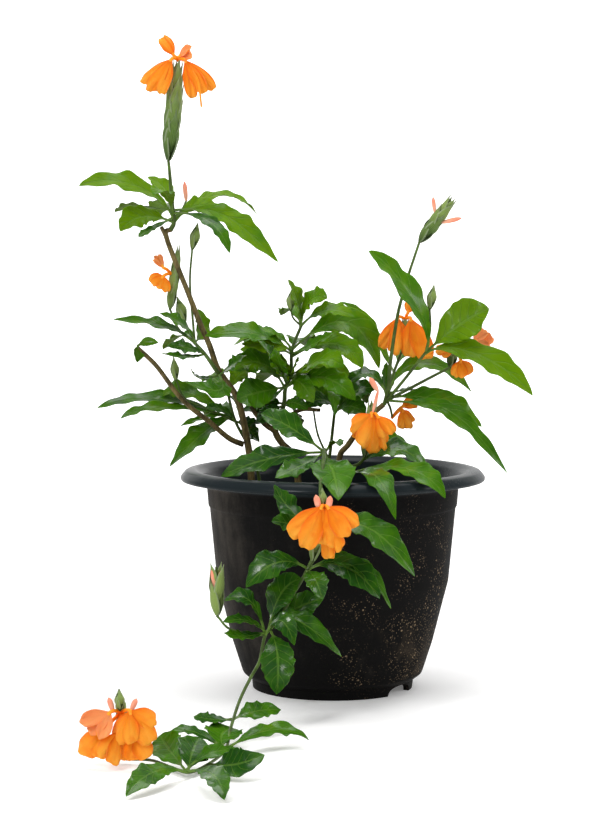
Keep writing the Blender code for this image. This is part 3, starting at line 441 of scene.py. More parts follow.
def pot_finish():
    made, net, shader, place = finish("pot_plastic", Specular_IOR_Level=0.02, Coat_Roughness=0.2)
    x, y, z = split(net, place)
    stretched = net.vector("MULTIPLY", place, (1.0, 1.0, 0.22))
    streaks = net.noise(stretched, 70.0, 5.0, 0.6)
    clouds = net.noise(place, 14.0, 5.0, 0.6)
    fine = net.noise(place, 420.0, 4.0, 0.7)
    left = (0.25 - x * 5.0 - z * 1.5 + y * 1.5).ramp(-0.35, 0.6)
    # Painted sheen: lighter towards the wall's left and right sides as seen from the front.
    side_sheen = (abs(x) * 9.0).ramp(0.35, 1.0)
    # Dust that runs down the wall, together with the painted sheen at the sides.
    dust_and_sheen = (streaks * 0.4 + clouds * 0.6 + fine * 0.15 + left * 0.2 + side_sheen * 0.14).ramp(0.68, 1.1)
    wall = net.blend(dust_and_sheen * 0.8, WALL_BLACK, WALL_DUST_AND_SHEEN)
    right = (x * 5.0 - y * 1.5).ramp(-0.45, 0.9)
    low = 1.0 - z.ramp(0.03, 0.165)
    wanted = right * (0.5 + low * 0.4)
    cells = net.node("ShaderNodeTexVoronoi", None, {"Vector": place, "Scale": 210.0})
    grain = net.node("ShaderNodeTexVoronoi", None, {"Vector": place, "Scale": 480.0})
    chance = net.noise(place, 38.0, 3.0, 0.7)
    spots = (1.0 - cells.ramp(0.08, 0.25)) * (wanted * 0.65 + chance * 1.2).ramp(0.86, 1.14)
    dots = (1.0 - grain.ramp(0.1, 0.32)) * (wanted * 0.7 + chance * 1.1).ramp(0.76, 1.1)
    smear = (wanted * 0.6 + clouds * 0.5 + streaks * 0.25).ramp(0.74, 1.15) * 0.4
    grit = spots.least(dots * 0.7).least(smear)
    wall = net.blend(grit * 0.6, wall, GRIT_TAN)
    foot = 1.0 - z.ramp(FOOT_TOP - 0.001, FOOT_TOP + 0.004)
    wall = net.blend(foot * 0.8, wall, WALL_BLACK)
    scuff = (x * 3.0 + fine * 0.5 + clouds * 0.6).ramp(0.7, 1.35)
    rim_paint = net.blend(scuff * 0.75, RIM_SLATE, RIM_GREY)
    inside = INNER_WALL + (z - SOIL_LINE) * WALL_LEAN - (x * x + y * y).sqrt()
    inner = inside.ramp(-0.0005, 0.0005) * z.ramp(0.14, 0.15)
    rim = z.ramp(WALL_TOP - 0.001, WALL_TOP + 0.001).least(inner)
    feed(net, shader, "Base Color", net.blend(rim, wall, rim_paint))
    feed(net, shader, "Coat Weight", 0.01 + rim * 0.16)
    dull = (0.62 - foot * 0.1) * (1.0 - rim)
    feed(net, shader, "Roughness", dull + rim * (0.3 + scuff * 0.22) + grit * 0.15)
    bump(net, shader, fine * 0.6 * (1.0 - rim) + grit * 1.5 + streaks * 0.5, 0.0004)
    return made


POT = pot_finish()
print("finish:", POT.name)

# %% Soil finish
PEAT_DARK = (0.012, 0.007, 0.004)
PEAT_LIGHT = (0.075, 0.045, 0.026)


def soil_finish():
    made, net, shader, place = finish("soil", 0.92)
    lumps = net.noise(place, 220.0, 6.0, 0.7)
    fibres = net.noise(net.vector("MULTIPLY", place, (1.0, 0.25, 1.0)), 700.0, 3.0, 0.7)
    paleness = (lumps * 0.7 + fibres * 0.5).ramp(0.4, 0.85)
    feed(net, shader, "Base Color", net.blend(paleness, PEAT_DARK, PEAT_LIGHT))
    bump(net, shader, lumps + fibres * 0.5, 0.0015)
    return made


SOIL = soil_finish()
print("finish:", SOIL.name)

# %% [markdown]
# ## Floor and lamps
# The floor runs back and then curves up into a wall: with one sheet there is no horizon line behind
# the plant. It glows a little, more behind the pot than in front of it, so that it stays white while
# the pot still throws a soft shade. Three broad soft lamps, in front at the left, above and at the
# right, in a bright world give the light of an overcast day. One hard sun would be simpler, but its
# shadows would cut the small leaves to pieces.

# %% Floor finish
FLOOR_PALE = (0.93, 0.925, 0.92)
WALL_GLOW = 0.8
GLOW_FROM, GLOW_TO, LEAST_GLOW = 0.5, 3.0, 0.2


def floor_finish():
    made, net, shader, place = finish("floor", 0.8)
    grain = net.noise(place, 3.0, 2.0)
    lighter = tuple(v * 1.03 for v in FLOOR_PALE)
    feed(net, shader, "Base Color", net.blend(grain, FLOOR_PALE, lighter))
    glow = split(net, place)[1].ramp(GLOW_FROM, GLOW_TO) * (1.0 - LEAST_GLOW) + LEAST_GLOW
    feed(net, shader, "Emission Color", net.blend(glow, (0.0, 0.0, 0.0), FLOOR_PALE))
    shader.inputs["Emission Strength"].default_value = WALL_GLOW
    return made


FLOOR = floor_finish()
print("finish:", FLOOR.name)

# %% Floor
FLOOR_HALF = 4000.0
FLOOR_FRONT = -4500.0
FLOOR_BACK = 2600.0
SWEEP_RADIUS = 1200.0
WALL_HEIGHT = 4200.0
SWEEP_STEPS = 12


def mesh_of(name, points, faces=()):
    """A mesh from points in millimetres."""
    mesh = bpy.data.meshes.new(name)
    mesh.from_pydata([point * MM for point in points], [], faces)
    return mesh


def backdrop():
    """A floor that curves up into a wall behind the object."""
    line = [(FLOOR_FRONT, 0.0), (0.0, 0.0)]
    for k in range(SWEEP_STEPS + 1):
        turn = math.pi / 2 * k / SWEEP_STEPS
        line.append((FLOOR_BACK + SWEEP_RADIUS * math.sin(turn), SWEEP_RADIUS * (1 - math.cos(turn))))
    line.append((FLOOR_BACK + SWEEP_RADIUS, WALL_HEIGHT))
    points = [Vector((x, y, z)) for y, z in line for x in (-FLOOR_HALF, FLOOR_HALF)]
    faces = [(2 * k, 2 * k + 1, 2 * k + 3, 2 * k + 2) for k in range(len(line) - 1)]
    mesh = mesh_of("backdrop", points, faces)
    mesh.shade_smooth()
    mesh.materials.append(FLOOR)
    placed("backdrop", mesh)


backdrop()
print("backdrop is", 2 * FLOOR_HALF * MM, "m wide")

# %% Lamps
LAMPS = {
    # where it stands, where it points, its side and its power in watts
    "front_soft": ((-1300, -1700, 1900), (0, 0, 250), 750, 30),
    "top_soft": ((100, 200, 2300), (0, 0, 200), 1700, 32),
    "right_soft": ((1700, -300, 1100), (0, 0, 250), 700, 8),
}
WORLD_LIGHT = (0.985, 0.99, 1.0)
WORLD_STRENGTH = 0.5


def lamp(name, place, aim, side, power):
    data = bpy.data.lights.new(name, "AREA")
    data.size = side * MM
    data.energy = power
    made = placed(name, data)
    made.location = Vector(place) * MM
    made.rotation_euler = (Vector(aim) - Vector(place)).to_track_quat("-Z", "Y").to_euler()


for name, row in LAMPS.items():
    lamp(name, *row)
world = bpy.data.worlds.new("world")
world.use_nodes = True
sky = world.node_tree.nodes["Background"]
sky.inputs["Color"].default_value = (*WORLD_LIGHT, 1.0)
sky.inputs["Strength"].default_value = WORLD_STRENGTH
bpy.context.scene.world = world
print("lamps:", ", ".join(LAMPS))

# %% [markdown]
# ## How the plan is drawn
# The plant was laid out on a front elevation, drawn in perspective on the plane through the pot's
# axis. seen() takes a point of that drawing along its line of sight to its real depth, and lying()
# takes it to a height above the surface. It is simpler to draw than real places in space, because a
# leaf's point in the drawing stays where it is when its depth is changed. So wherever the plan below
# has a bare (x, z, y), it is a point for seen().

# %% Points of the plan
EYE_X, EYE_DISTANCE, EYE_HEIGHT = EYE.x, -EYE.y, EYE.z
STEM_FOOT = 148.0
STEM_CLEARS = 170.0


def seen(x, z, y):
    """The real point at depth y that the elevation shows at (x, z)."""
    near = 1.0 + y / EYE_DISTANCE
    return Vector((EYE_X + (x - EYE_X) * near, y, EYE_HEIGHT + (z - EYE_HEIGHT) * near))


def lying(x, z, height):
    """The real point at a height above the surface that the elevation shows at (x, z)."""
    near = (EYE_HEIGHT - height) / (EYE_HEIGHT - z)
    return seen(x, z, (near - 1.0) * EYE_DISTANCE)


def real(x, y, z):
    return Vector((x, y, z))


def foot(x, y):
    """A stem's straight foot in the soil's own hole: where it starts and where it is clear."""
    return real(x, y, STEM_FOOT), real(x, y, STEM_CLEARS)


def place_of(point):
    """The real place of a point of the plan."""
    return point if isinstance(point, Vector) else seen(*point)


def through(points, t):
    """Smooth curve that passes through all the points at even steps of t."""
    last = len(points) - 1
    place = Vector((0.0, 0.0, 0.0))
    for i, point in enumerate(points):
        weight = 1.0
        for j in range(last + 1):
            if j != i:
                weight *= (t * last - j) / (i - j)
        place += point * weight
    return place


def rounded(points, steps):
    """Catmull-Rom curve through the points, with a number of steps between each two."""
    ends = [points[0] * 2 - points[1]] + list(points) + [points[-1] * 2 - points[-2]]
    path = []
    for i in range(1, len(ends) - 2):
        a, b, c, d = ends[i - 1:i + 3]
        for k in range(steps):
            t = k / steps
            path.append(0.5 * (2 * b + (c - a) * t + (2 * a - 5 * b + 4 * c - d) * t * t
                               + (3 * b - a - 3 * c + d) * t ** 3))
    return path + [points[-1].copy()]


print("the eye point is", EYE_DISTANCE, "mm in front of the pot's axis")

# %% [markdown]
# ## Two growing trees
# Stems, buds and flower tubes are all round and follow a path; leaves and bracts are all flat and
# follow a rib. So two Geometry Nodes trees grow the whole plant. Each reads a cloud of points that
# knows, at each point, which path it belongs to, and sweeps a closed outline along every path. The
# flat one then moves each point by a formula, so the fold, the waved margin and the swelling
# between the veins can be changed by one number each.


# %% A tree with named inputs
def growing_tree(name, inputs):
    """A Geometry Nodes tree with a geometry in and out, and one named input for each row."""
    tree = bpy.data.node_groups.new(name, "GeometryNodeTree")
    tree.interface.new_socket("Geometry", in_out="INPUT", socket_type="NodeSocketGeometry")
    tree.interface.new_socket("Geometry", in_out="OUTPUT", socket_type="NodeSocketGeometry")
    for label, kind, value in inputs:
        socket = tree.interface.new_socket(label, in_out="INPUT", socket_type="NodeSocket" + kind)
        if value is not None:
            socket.default_value = value
    net = Net(tree)
    entry = net.node("NodeGroupInput")
    return tree, net, entry


print("a growing tree starts with its inputs")


# %% Sweep an outline along every path
def swept(net, entry, keep_spot=False):
    """Curves through the cloud's points, and a round outline swept along them with capped ends."""
    points = net.node("GeometryNodeMeshToPoints", None, {"Mesh": entry.out("Geometry")})
    values = {"Points": points, "Curve Group ID": net.known("path", "INT"), "Weight": net.known("order")}
    curves = net.node("GeometryNodePointsToCurves", None, values)
    outline = net.node("GeometryNodeCurvePrimitiveCircle", {"mode": "RADIUS"},
                       {"Resolution": entry.out("Sides"), "Radius": 1.0})
    step = net.node("GeometryNodeInputIndex") * (2.0 * math.pi)
    outline = net.keep(outline, "turn", step / entry.out("Sides"))
    if keep_spot:
        curves = net.keep(curves, "spot", net.node("GeometryNodeInputPosition"), "FLOAT_VECTOR")
    values = {"Curve": curves, "Profile Curve": outline, "Scale": net.known("half"), "Fill Caps": True}
    return net.node("GeometryNodeCurveToMesh", None, values)


def hand_over(net, entry, shape):
    """The tree's end: smooth faces, real meshes instead of instances, and the finish."""
    shape = net.node("GeometryNodeSetShadeSmooth", None, {"Geometry": shape})
    shape = net.node("GeometryNodeRealizeInstances", None, {"Geometry": shape})
    shape = net.node("GeometryNodeSetMaterial", None,
                     {"Geometry": shape, "Material": entry.out("Finish")})
    net.node("NodeGroupOutput", None, {"Geometry": shape})


print("a tree ends in real meshes with their finish")


# %% The round tree
def round_tree():
    tree, net, entry = growing_tree("round", [
        ("Sides", "Int", 12), ("Bark depth", "Float", 0.0), ("Bark grain", "Float", 300.0),
        ("Seed", "Float", 7.0), ("Finish", "Material", None)])
    shape = swept(net, entry)
    place = net.node("GeometryNodeInputPosition")
    values = {"Vector": place, "W": entry.out("Seed"), "Scale": entry.out("Bark grain"), "Detail": 2.0}
    relief = (net.node("ShaderNodeTexNoise", {"noise_dimensions": "4D"}, values) - 0.5) * 2.0
    offset = net.vector("SCALE", net.node("GeometryNodeInputNormal"),
                        scale=relief * entry.out("Bark depth") * net.known("half") * net.known("tone"))
    shape = net.node("GeometryNodeSetPosition", None, {"Geometry": shape, "Offset": offset})
    hand_over(net, entry, shape)
    return tree


ROUND = round_tree()
print("tree:", ROUND.name, "with", len(ROUND.nodes), "nodes")


# %% The flat tree
def flat_tree():
    tree, net, entry = growing_tree("flat", [
        ("Sides", "Int", 20), ("Fold", "Float", 0.22), ("Cup", "Float", 0.0),
        ("Wide wave", "Float", 0.2), ("Fine wave", "Float", 0.1), ("Fine waves", "Float", 5.0),
        ("Swelling", "Float", 0.03), ("Finish", "Material", None)])
    shape = swept(net, entry, keep_spot=True)
    turn, half = net.known("turn"), net.known("half")
    along, tone = net.known("along"), net.known("tone")
    across = turn.cos()
    face = turn.sin()
    shape = net.keep(net.keep(shape, "across", across), "face", face)
    width = abs(across)
    edge = width * width
    fold = entry.out("Fold") * (width * 0.5 + edge * 0.5) - entry.out("Cup") * edge
    wide = entry.out("Wide wave") * net.known("swing") * across.sign() * edge
    beat = along * entry.out("Fine waves") * (2.0 * math.pi) + tone * 40.0 + across.sign() * 1.3
    fine = entry.out("Fine wave") * net.known("calm") * beat.sin() * edge * width
    swelling = entry.out("Swelling") * vein_wave(along, across) * width * (1.2 - width)
    lift = half * (fold + wide + fine - swelling)
    thick = (face * 3.0).least(-1.0).most(1.0) * net.known("thick") * 0.5
    ripple = 1.0 + entry.out("Fine wave") * net.known("calm") * 0.55 * (beat * 1.7 + 1.0).sin()
    side, up = net.known("side", "FLOAT_VECTOR"), net.known("up", "FLOAT_VECTOR")
    place = net.vector("ADD", net.known("spot", "FLOAT_VECTOR"),
                       net.vector("SCALE", side, scale=across * half * ripple))
    place = net.vector("ADD", place, net.vector("SCALE", up, scale=lift + thick))
    shape = net.node("GeometryNodeSetPosition", None, {"Geometry": shape, "Position": place})
    hand_over(net, entry, shape)
    return tree


FLAT = flat_tree()
print("tree:", FLAT.name, "with", len(FLAT.nodes), "nodes")


# %% Keep the shape that modifiers make
def turn_out(mesh):
    """Points every face of a closed mesh outwards."""
    shape = bmesh.new()
    shape.from_mesh(mesh)
    bmesh.ops.recalc_face_normals(shape, faces=shape.faces)
    shape.to_mesh(mesh)
    shape.free()


def settle(made):
    """Makes the evaluated shape the object's own mesh and drops the modifiers."""
    graph = bpy.context.evaluated_depsgraph_get()
    mesh = bpy.data.meshes.new_from_object(made.evaluated_get(graph), preserve_all_data_layers=True,
                                           depsgraph=graph)
    made.modifiers.clear()
    made.data = mesh
    turn_out(mesh)


print("faces are turned outwards when a shape is kept")

# %% Run a tree on a cloud of points
KINDS = {"path": "INT", "up": "FLOAT_VECTOR", "side": "FLOAT_VECTOR"}


def add_notes(mesh, notes):
    """Stores what is known at each point, by name."""
    for name, values in notes.items():
        kind = KINDS.get(name, "FLOAT")
        stored = mesh.attributes.new(name, kind, "POINT")
        if kind == "FLOAT_VECTOR":
            stored.data.foreach_set("vector", [v for row in values for v in row])
        else:
            stored.data.foreach_set("value", values)


def run_tree(made, tree, settings):
    """The object's mesh as a tree makes it. An input is set by its identifier."""
    modifier = made.modifiers.new("grow", "NODES")
    modifier.node_group = tree
    for item in tree.interface.items_tree:
        if item.in_out == "INPUT" and item.name in settings:
            modifier[item.identifier] = settings[item.name]
    settle(made)
    return made


def grow(name, paths, tree, settings):
    """One mesh from a list of paths, each a list of points with what is known there."""
    rows = [(k, i, spot) for k, path in enumerate(paths) for i, spot in enumerate(path)]
    mesh = mesh_of(name, [spot["place"] for k, i, spot in rows])
    notes = {"path": [k for k, i, spot in rows], "order": [float(i) for k, i, spot in rows]}
    for key in rows[0][2]:
        if key != "place":
            notes[key] = [spot[key] for k, i, spot in rows]
    add_notes(mesh, notes)
    return run_tree(placed(name, mesh), tree, settings)


print("points are known by", ", ".join(KINDS), "and by single numbers")


# %% Put a piece on the plant
def put_on(made, node, slot):
    """The piece moves with the plant and stands for its CAD node. The slot is not used."""
    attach(made, "root")
    if node:
        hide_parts(node)
    triangles = sum(len(face.vertices) - 2 for face in made.data.polygons)
    print(f"{made.name}: {triangles} triangles")


# %% [markdown]
# ## Leaves, twigs and buds
# A leaf's rib is a curve through a few points of the plan. At each of its stations the half width
# follows a pointed oval, and its face is rolled towards the front. A twig is a rounded path that
# tapers. A bud is a short path that swells in the middle.

# %% Leaf ribs
SEED = 20
RIB_STATIONS = 42
CALM_WIDTH = 23.0
TANGENT_STEP = 0.02
PETIOLE_END = 0.13
BLADE_WAVES_FROM, BLADE_WAVES_TO = 0.16, 0.9
PETIOLE_HALF = 0.95
PETIOLE_THICK = 1.7
BLADE_THICK = 0.55
TIP_HALF = 0.12
YOUTH_SPREAD = 0.2
draw = random.Random(SEED)


def blade_width(s):
    """Share of a leaf's half width at s along it: a slim petiole, then a pointed oval."""
    if s <= PETIOLE_END:
        return 0.0
    u = (s - PETIOLE_END) / (1.0 - PETIOLE_END)
    return math.sin(math.pi * u ** 1.1) ** 0.8 if u < 1.0 else 0.0


def turned(tangent, heading, roll):
    """Direction across a leaf and its upward normal, rolled so that its face turns to the front."""
    flat = Vector((heading.x, heading.y, 0.0))
    level = Vector((0.0, 0.0, 1.0)).cross(flat.normalized())
    level = (level - tangent * level.dot(tangent)).normalized()
    upward = tangent.cross(level)
    angle = math.radians(roll) * (1.0 if heading.x >= 0.0 else -1.0)
    across = level * math.cos(angle) + upward * math.sin(angle)
    return across, tangent.cross(across).normalized()


def leaf(path, youth, width, roll, swings=4, younger=0.0):
    """A leaf's rib, from its root in the stem to its tip."""
    heading = path[-1] - path[0]
    tone = min(max(youth + younger + draw.uniform(-YOUTH_SPREAD, YOUTH_SPREAD), 0.0), 1.0)
    calm = min(1.0, CALM_WIDTH / width)
    rib = []
    for k in range(RIB_STATIONS + 1):
        s = k / RIB_STATIONS
        ahead, behind = min(s + TANGENT_STEP, 1.0), max(s - TANGENT_STEP, 0.0)
        tangent = (through(path, ahead) - through(path, behind)).normalized()
        side, up = turned(tangent, heading, roll)
        blade = width / 2 * blade_width(s)
        stalk = PETIOLE_HALF * (1.0 - s) + TIP_HALF * s
        half = math.hypot(blade, stalk)
        slim = min(blade / 3.0, 1.0)
        beat = 1.0 + (s - BLADE_WAVES_FROM) / (BLADE_WAVES_TO - BLADE_WAVES_FROM) * (swings - 1)
        rib.append({"place": through(path, s), "side": side, "up": up, "half": half * MM,
                    "thick": (PETIOLE_THICK * (1.0 - slim) * (1.0 - s) + BLADE_THICK * slim) * MM,
                    "along": s, "tone": tone, "calm": calm ** 2,
                    "swing": math.cos(math.pi * beat) * slim * calm})
    return "leaf", rib


print("a leaf has", RIB_STATIONS + 1, "stations along its rib")

# %% Twigs, tubes and buds
PATH_STEPS = 8
TWIG_ROOT = 1.2
WOOD_TAPER = 0.5
BUD_STATIONS = 14


def twig(start, end, *points, wood=0.0):
    """A round stem through some points, from one radius to another. A woody one is thickest at its
    foot, and a green one reaches a little into what it joins."""
    path = rounded([place_of(point) for point in points], PATH_STEPS)
    if not wood:
        path = [path[0] - (path[1] - path[0]).normalized() * TWIG_ROOT] + path
        path.append(path[-1] + (path[-1] - path[-2]).normalized() * TWIG_ROOT)
    last = len(path) - 1
    rows = []
    for k, place in enumerate(path):
        taper = (k / last) ** (WOOD_TAPER if wood else 1.0)
        rows.append({"place": place, "half": (start + (end - start) * taper) * MM, "along": k / last,
                     "tone": wood})
    return "twig", rows


def tube(start, end, *points):
    """The same for a flower's tube."""
    return "tube", twig(start, end, *points)[1]


def bud(radius, base, top):
    """A closed spindle, as an unopened spike or flower."""
    base, top = place_of(base), place_of(top)
    middle = base.lerp(top, 0.5)
    rows = []
    for k in range(BUD_STATIONS + 1):
        t = k / BUD_STATIONS
        swell = (1.0 - 0.9 * abs(2.0 * t - 1.1) ** 2.2 / 1.1 ** 2.2) ** 0.6
        fade = 1.0 if t < 0.7 else 1.0 - ((t - 0.7) / 0.3) ** 2.5 * 0.8
        rows.append({"place": through([base, middle, top], t), "half": radius * swell * fade * MM,
                     "along": t, "tone": 0.0})
    return "bud", rows


print("a stem has", PATH_STEPS, "steps between two of its points")

# %% Leaves round a node
LEVEL = 2.1
ROOT_STEP = 0.8


def leaves(youth, node, toward, rows):
    """Leaves from one node of a stem, set in opposite pairs that climb from the node toward another
    point of the stem. A row holds a leaf's width, its roll in degrees, how often its margin swings
    if not four times, and how much younger it is than its neighbours, then the points of its rib."""
    node = place_of(node)
    climb = (place_of(toward) - node).normalized()
    ribs = [[place_of(point) for point in row[1:]] for row in rows]
    headings = [math.atan2(rib[0].y - node.y, rib[0].x - node.x) for rib in ribs]
    order = sorted(range(len(rows)), key=lambda k: headings[k])
    levels = (len(rows) + 1) // 2
    made = []
    for k, rib in enumerate(ribs):
        place = node + climb * LEVEL * (order.index(k) % levels)
        root = place + (rib[0] - place).normalized() * ROOT_STEP
        made.append(leaf([root] + rib, youth, *rows[k][0]))
    return made


print("leaves at one node stand up to", LEVEL, "mm one above the other")

# %% [markdown]
# ## Bracts
# A crossandra spike is square in section: pointed, keeled bracts stand in pairs, each pair a quarter
# turn from the one below, and each bract lies over the roots of the next pair. The pairs are set out
# by a rule along the spike's axis, and the flat tree grows every bract, cupped round the axis.

# %% One bract
BRACT_STATIONS = 12
BRACT_THICK = 0.5
BULGE_FULL = 0.45
CLOSE_FROM = 0.5
CORE = 0.3


def bract(start, axis, outward, reach, length, half, tone, lean, close):
    """One bract's rib: out from the core, up along the spike, its point a little free."""
    along = axis.normalized()
    rib, spots = [], []
    for k in range(BRACT_STATIONS + 1):
        t = k / BRACT_STATIONS
        bulge = math.sin(math.pi / 2 * min(t / BULGE_FULL, 1.0))
        out = CORE + (1.0 - CORE) * bulge - close * max(t - CLOSE_FROM, 0.0)
        spots.append(start + along * length * t + outward * reach * (out + lean * t ** 3))
    for k, place in enumerate(spots):
        t = k / BRACT_STATIONS
        tangent = (spots[min(k + 1, BRACT_STATIONS)] - spots[max(k - 1, 0)]).normalized()
        side = along.cross(outward).normalized()
        up = side.cross(tangent).normalized()
        oval = math.sin(math.pi * min(t ** 0.7 + 0.04, 1.0)) ** 0.75
        wide = half * (0.16 + 0.84 * oval) * (1.0 - t ** 5)
        rib.append({"place": place, "side": side, "up": up, "half": max(wide, 0.12) * MM,
                    "thick": BRACT_THICK * MM, "along": t, "tone": tone, "calm": 1.0, "swing": 0.0})
    return "bract", rib


print("a bract has", BRACT_STATIONS + 1, "stations along its rib")

# %% A whole spike
TIERS_PER_LAYER = 1.6
BRACT_HALF = 0.92
STALK_END = 1.2


def core(base, top, radius):
    """The spike's own stem: it carries on from the stalk and thickens under the bracts."""
    along = (top - base).normalized()
    rows = [(base - along * 1.6, STALK_END), (base + along * 1.5, STALK_END * 1.1),
            (base.lerp(top, 0.2), radius * 0.4), (base.lerp(top, 0.9), radius * 0.15)]
    return "twig", [{"place": place, "half": half * MM, "along": 0.0, "tone": 0.0}
                    for place, half in rows]


def around(axis):
    """A function that turns an angle round an axis into a direction away from it."""
    side = axis.cross(Vector((0.0, 1.0, 0.0))).normalized()
    front = axis.normalized().cross(side).normalized()
    return lambda angle: side * math.cos(angle) + front * math.sin(angle)


def spike(base, top, radius, layers, turn, lean, pale, close):
    """All the bracts of one spike, from its stalk up, and the core that they stand on."""
    axis = top - base
    outward = around(axis)
    tiers = max(round(layers * TIERS_PER_LAYER), 3)
    span = axis.length
    made = [core(base, top, radius)]
    for tier in range(tiers):
        share = tier / tiers
        swell = 0.3 + 0.7 * math.sin(math.pi * (0.33 + 0.67 * share))
        length = span * min(1.0 - 0.8 * share, 0.34 + 1.1 / tiers)
        for k in range(2):
            angle = math.radians(turn) + math.pi / 2 * tier + math.pi * k + draw.uniform(-0.1, 0.1)
            tone = min(max(share + pale + draw.uniform(-0.15, 0.15), 0.0), 1.0)
            made.append(bract(base + axis * (share * 0.8), axis, outward(angle), radius * swell * 0.9,
                              length * draw.uniform(0.92, 1.0), radius * swell * BRACT_HALF, tone,
                              lean * draw.uniform(0.4, 1.6), close))
    return made


print("a spike of 6 layers has", round(6 * TIERS_PER_LAYER) * 2, "bracts")


# %% Green buds
def green_bud(radius, base, top):
    """A spike that has not opened yet: two pairs of broad bracts closed over each other."""
    base, top = place_of(base), place_of(top)
    axis = top - base
    root = base - axis.normalized() * TWIG_ROOT
    made = [("twig", bud(radius * 0.8, root, base.lerp(top, 0.9))[1])]
    for k in range(4):
        outward = around(axis)(math.pi / 2 * k + 0.5)
        share = 0.0 if k % 2 == 0 else 0.12
        made.append(bract(base + axis * share, axis, outward, radius * 0.95, axis.length * (0.98 - share),
                          radius * 1.05, 1.0 - share, 0.0, 1.9))
    return made


print("a green bud has 4 bracts")

# %% [markdown]
# ## From the plan to pieces
# Every piece of the plant is finished in the same way: its paths are sorted by what they are, each
# sort is grown as one mesh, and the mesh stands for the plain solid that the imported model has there.

# %% Grow each kind of path
LEAF_LOOK = {"Sides": 20, "Fold": 0.22, "Cup": 0.0, "Wide wave": 0.14, "Fine wave": 0.13,
             "Fine waves": 4.6, "Swelling": 0.028, "Finish": LEAF}
BRACT_LOOK = {"Sides": 12, "Fold": 0.0, "Cup": 0.5, "Wide wave": 0.0, "Fine wave": 0.0,
              "Fine waves": 1.0, "Swelling": 0.0, "Finish": BRACT}
TWIG_LOOK = {"Sides": 12, "Bark depth": 0.12, "Bark grain": 260.0, "Finish": STEM}
BUD_LOOK = {"Sides": 12, "Bark depth": 0.0, "Finish": BUD}
TUBE_LOOK = {"Sides": 10, "Bark depth": 0.0, "Finish": PETAL}
LOOKS = {
    # a path: what its piece is called, the tree that grows it, the tree's settings, its slot
    "leaf": ("leaves", FLAT, LEAF_LOOK, "leaf_green"),
    "bract": ("bracts", FLAT, BRACT_LOOK, "bract_green"),
    "twig": ("twigs", ROUND, TWIG_LOOK, "leaf_green"),
    "bud": ("buds", ROUND, BUD_LOOK, "bud_peach"),
    "tube": ("tubes", ROUND, TUBE_LOOK, "bud_peach"),
}


def grow_node(node, paths, own_slot=None):
    """One piece for each kind of path in a node."""
    for kind, (label, tree, look, slot) in LOOKS.items():
        chosen = [path for sort, path in paths if sort == kind]
        if chosen:
            put_on(grow(f"{node}_{label}", chosen, tree, look), node, own_slot or slot)


print("kinds of path:", ", ".join(LOOKS))

# %% [markdown]
# ## The shoots
# Each shoot is laid out one by one: where its stem runs, at which nodes leaves stand in opposite pairs,
# and through which points each leaf's rib passes. A rule for the whole plant could scatter the
# leaves, but the plant would then have no likeness to a real one that has leant, been cut back and
# trailed over its rim. The first number of each group of leaves says how young and pale they are.

# %% Shoot: top
grow_node("shoot_top", [
    twig(2.2, 1.2, (-142.4, 406.4, -8), (-140, 412, -8), (-141, 425, -8), (-143.3, 453, -8),
         (-144.5, 466, -8)),
    twig(0.9, 0.8, (-140, 412, -8), (-133, 423, 5), (-129, 431, 11)),
    bud(2, (-129, 430, 11), (-130.5, 448, 11)),
    *leaves(0.9, (-140, 412, -8), (-141, 425, -8), [
        ((24, 40, 5, -0.15), (-159, 437, -16), (-190, 448, -24), (-223.5, 444, -30)),
        ((15, 20), (-147, 440, 26), (-163, 452, 46)),
        ((19, 15, 4, -0.3), (-148, 438, -30), (-158, 436, -56)),
        ((26, 45), (-168, 417, -12), (-187, 404, -22)),
        ((18, -10, 3, -0.5), (-173, 425, 18), (-192, 421, 30)),
        ((10, 20, 3, -0.6), (-160, 406, -22), (-171, 399, -32)),
        ((18, 20, 5), (-99, 436, 20), (-66, 418, 28)),
        ((22, 50, 5, -0.25), (-106, 422, -14), (-80, 408, -24), (-48, 377, -28)),
        ((20, 40), (-118, 427, -2), (-96, 418, 4)),
        ((14, 25, 4, -0.5), (-108, 412, -36), (-91, 385, -48)),
        ((22, 0), (-150, 428, 38), (-158, 412, 72)),
        ((22, 0), (-118, 426, 36), (-104, 408, 66)),
    ]),
])

# %% Shoot: left
grow_node("shoot_left", [
    twig(2, 1.5, (-99.95, 277.5, 1.1), (-104, 283, -3), (-113, 296, -2), (-122, 306, 1)),
    twig(1.2, 1, (-122, 306, 1), (-136, 318, 7), (-143.7, 335.5, 11)),
    twig(1.2, 0.9, (-122, 306, 1), (-123.5, 325, 10), (-126, 360, 13), (-123.8, 390, 14)),
    twig(1, 0.9, (-122, 306, 1), (-126, 315, 13), (-130.8, 326, 20)),
    *green_bud(4.2, (-123.8, 389, 14), (-118.8, 412, 15)),
    *green_bud(4.4, (-130.6, 325, 20), (-137.5, 347, 22)),
    *leaves(0.6, (-122, 306, 1), (-113, 296, -2), [
        ((18, 25, 5), (-150, 321, -8), (-194, 326.5, -14)),
        ((16, 35), (-133, 322, -6), (-153, 332, -12)),
        ((20, 50, 3), (-116, 318, 20), (-119, 336, 30)),
        ((20, 10), (-133, 312, 28), (-150, 300, 50)),
    ]),
    *leaves(0.35, (-113, 296, -2), (-99.95, 277.5, 1.1), [
        ((17, 35), (-127, 301, -12), (-147, 303, -20)),
        ((13, 20), (-131, 293.5, -22), (-152, 297, -32)),
    ]),
    *leaves(0.225, (-99.95, 277.5, 1.1), (-104, 283, -3), [
        ((23, 40), (-101, 264, -22), (-132, 272, -31)),
        ((9, 30, 3), (-118, 275, -14), (-125.5, 284, -18)),
        ((19, 40, 3), (-89, 286, -12), (-76, 295, -14)),
    ]),
])

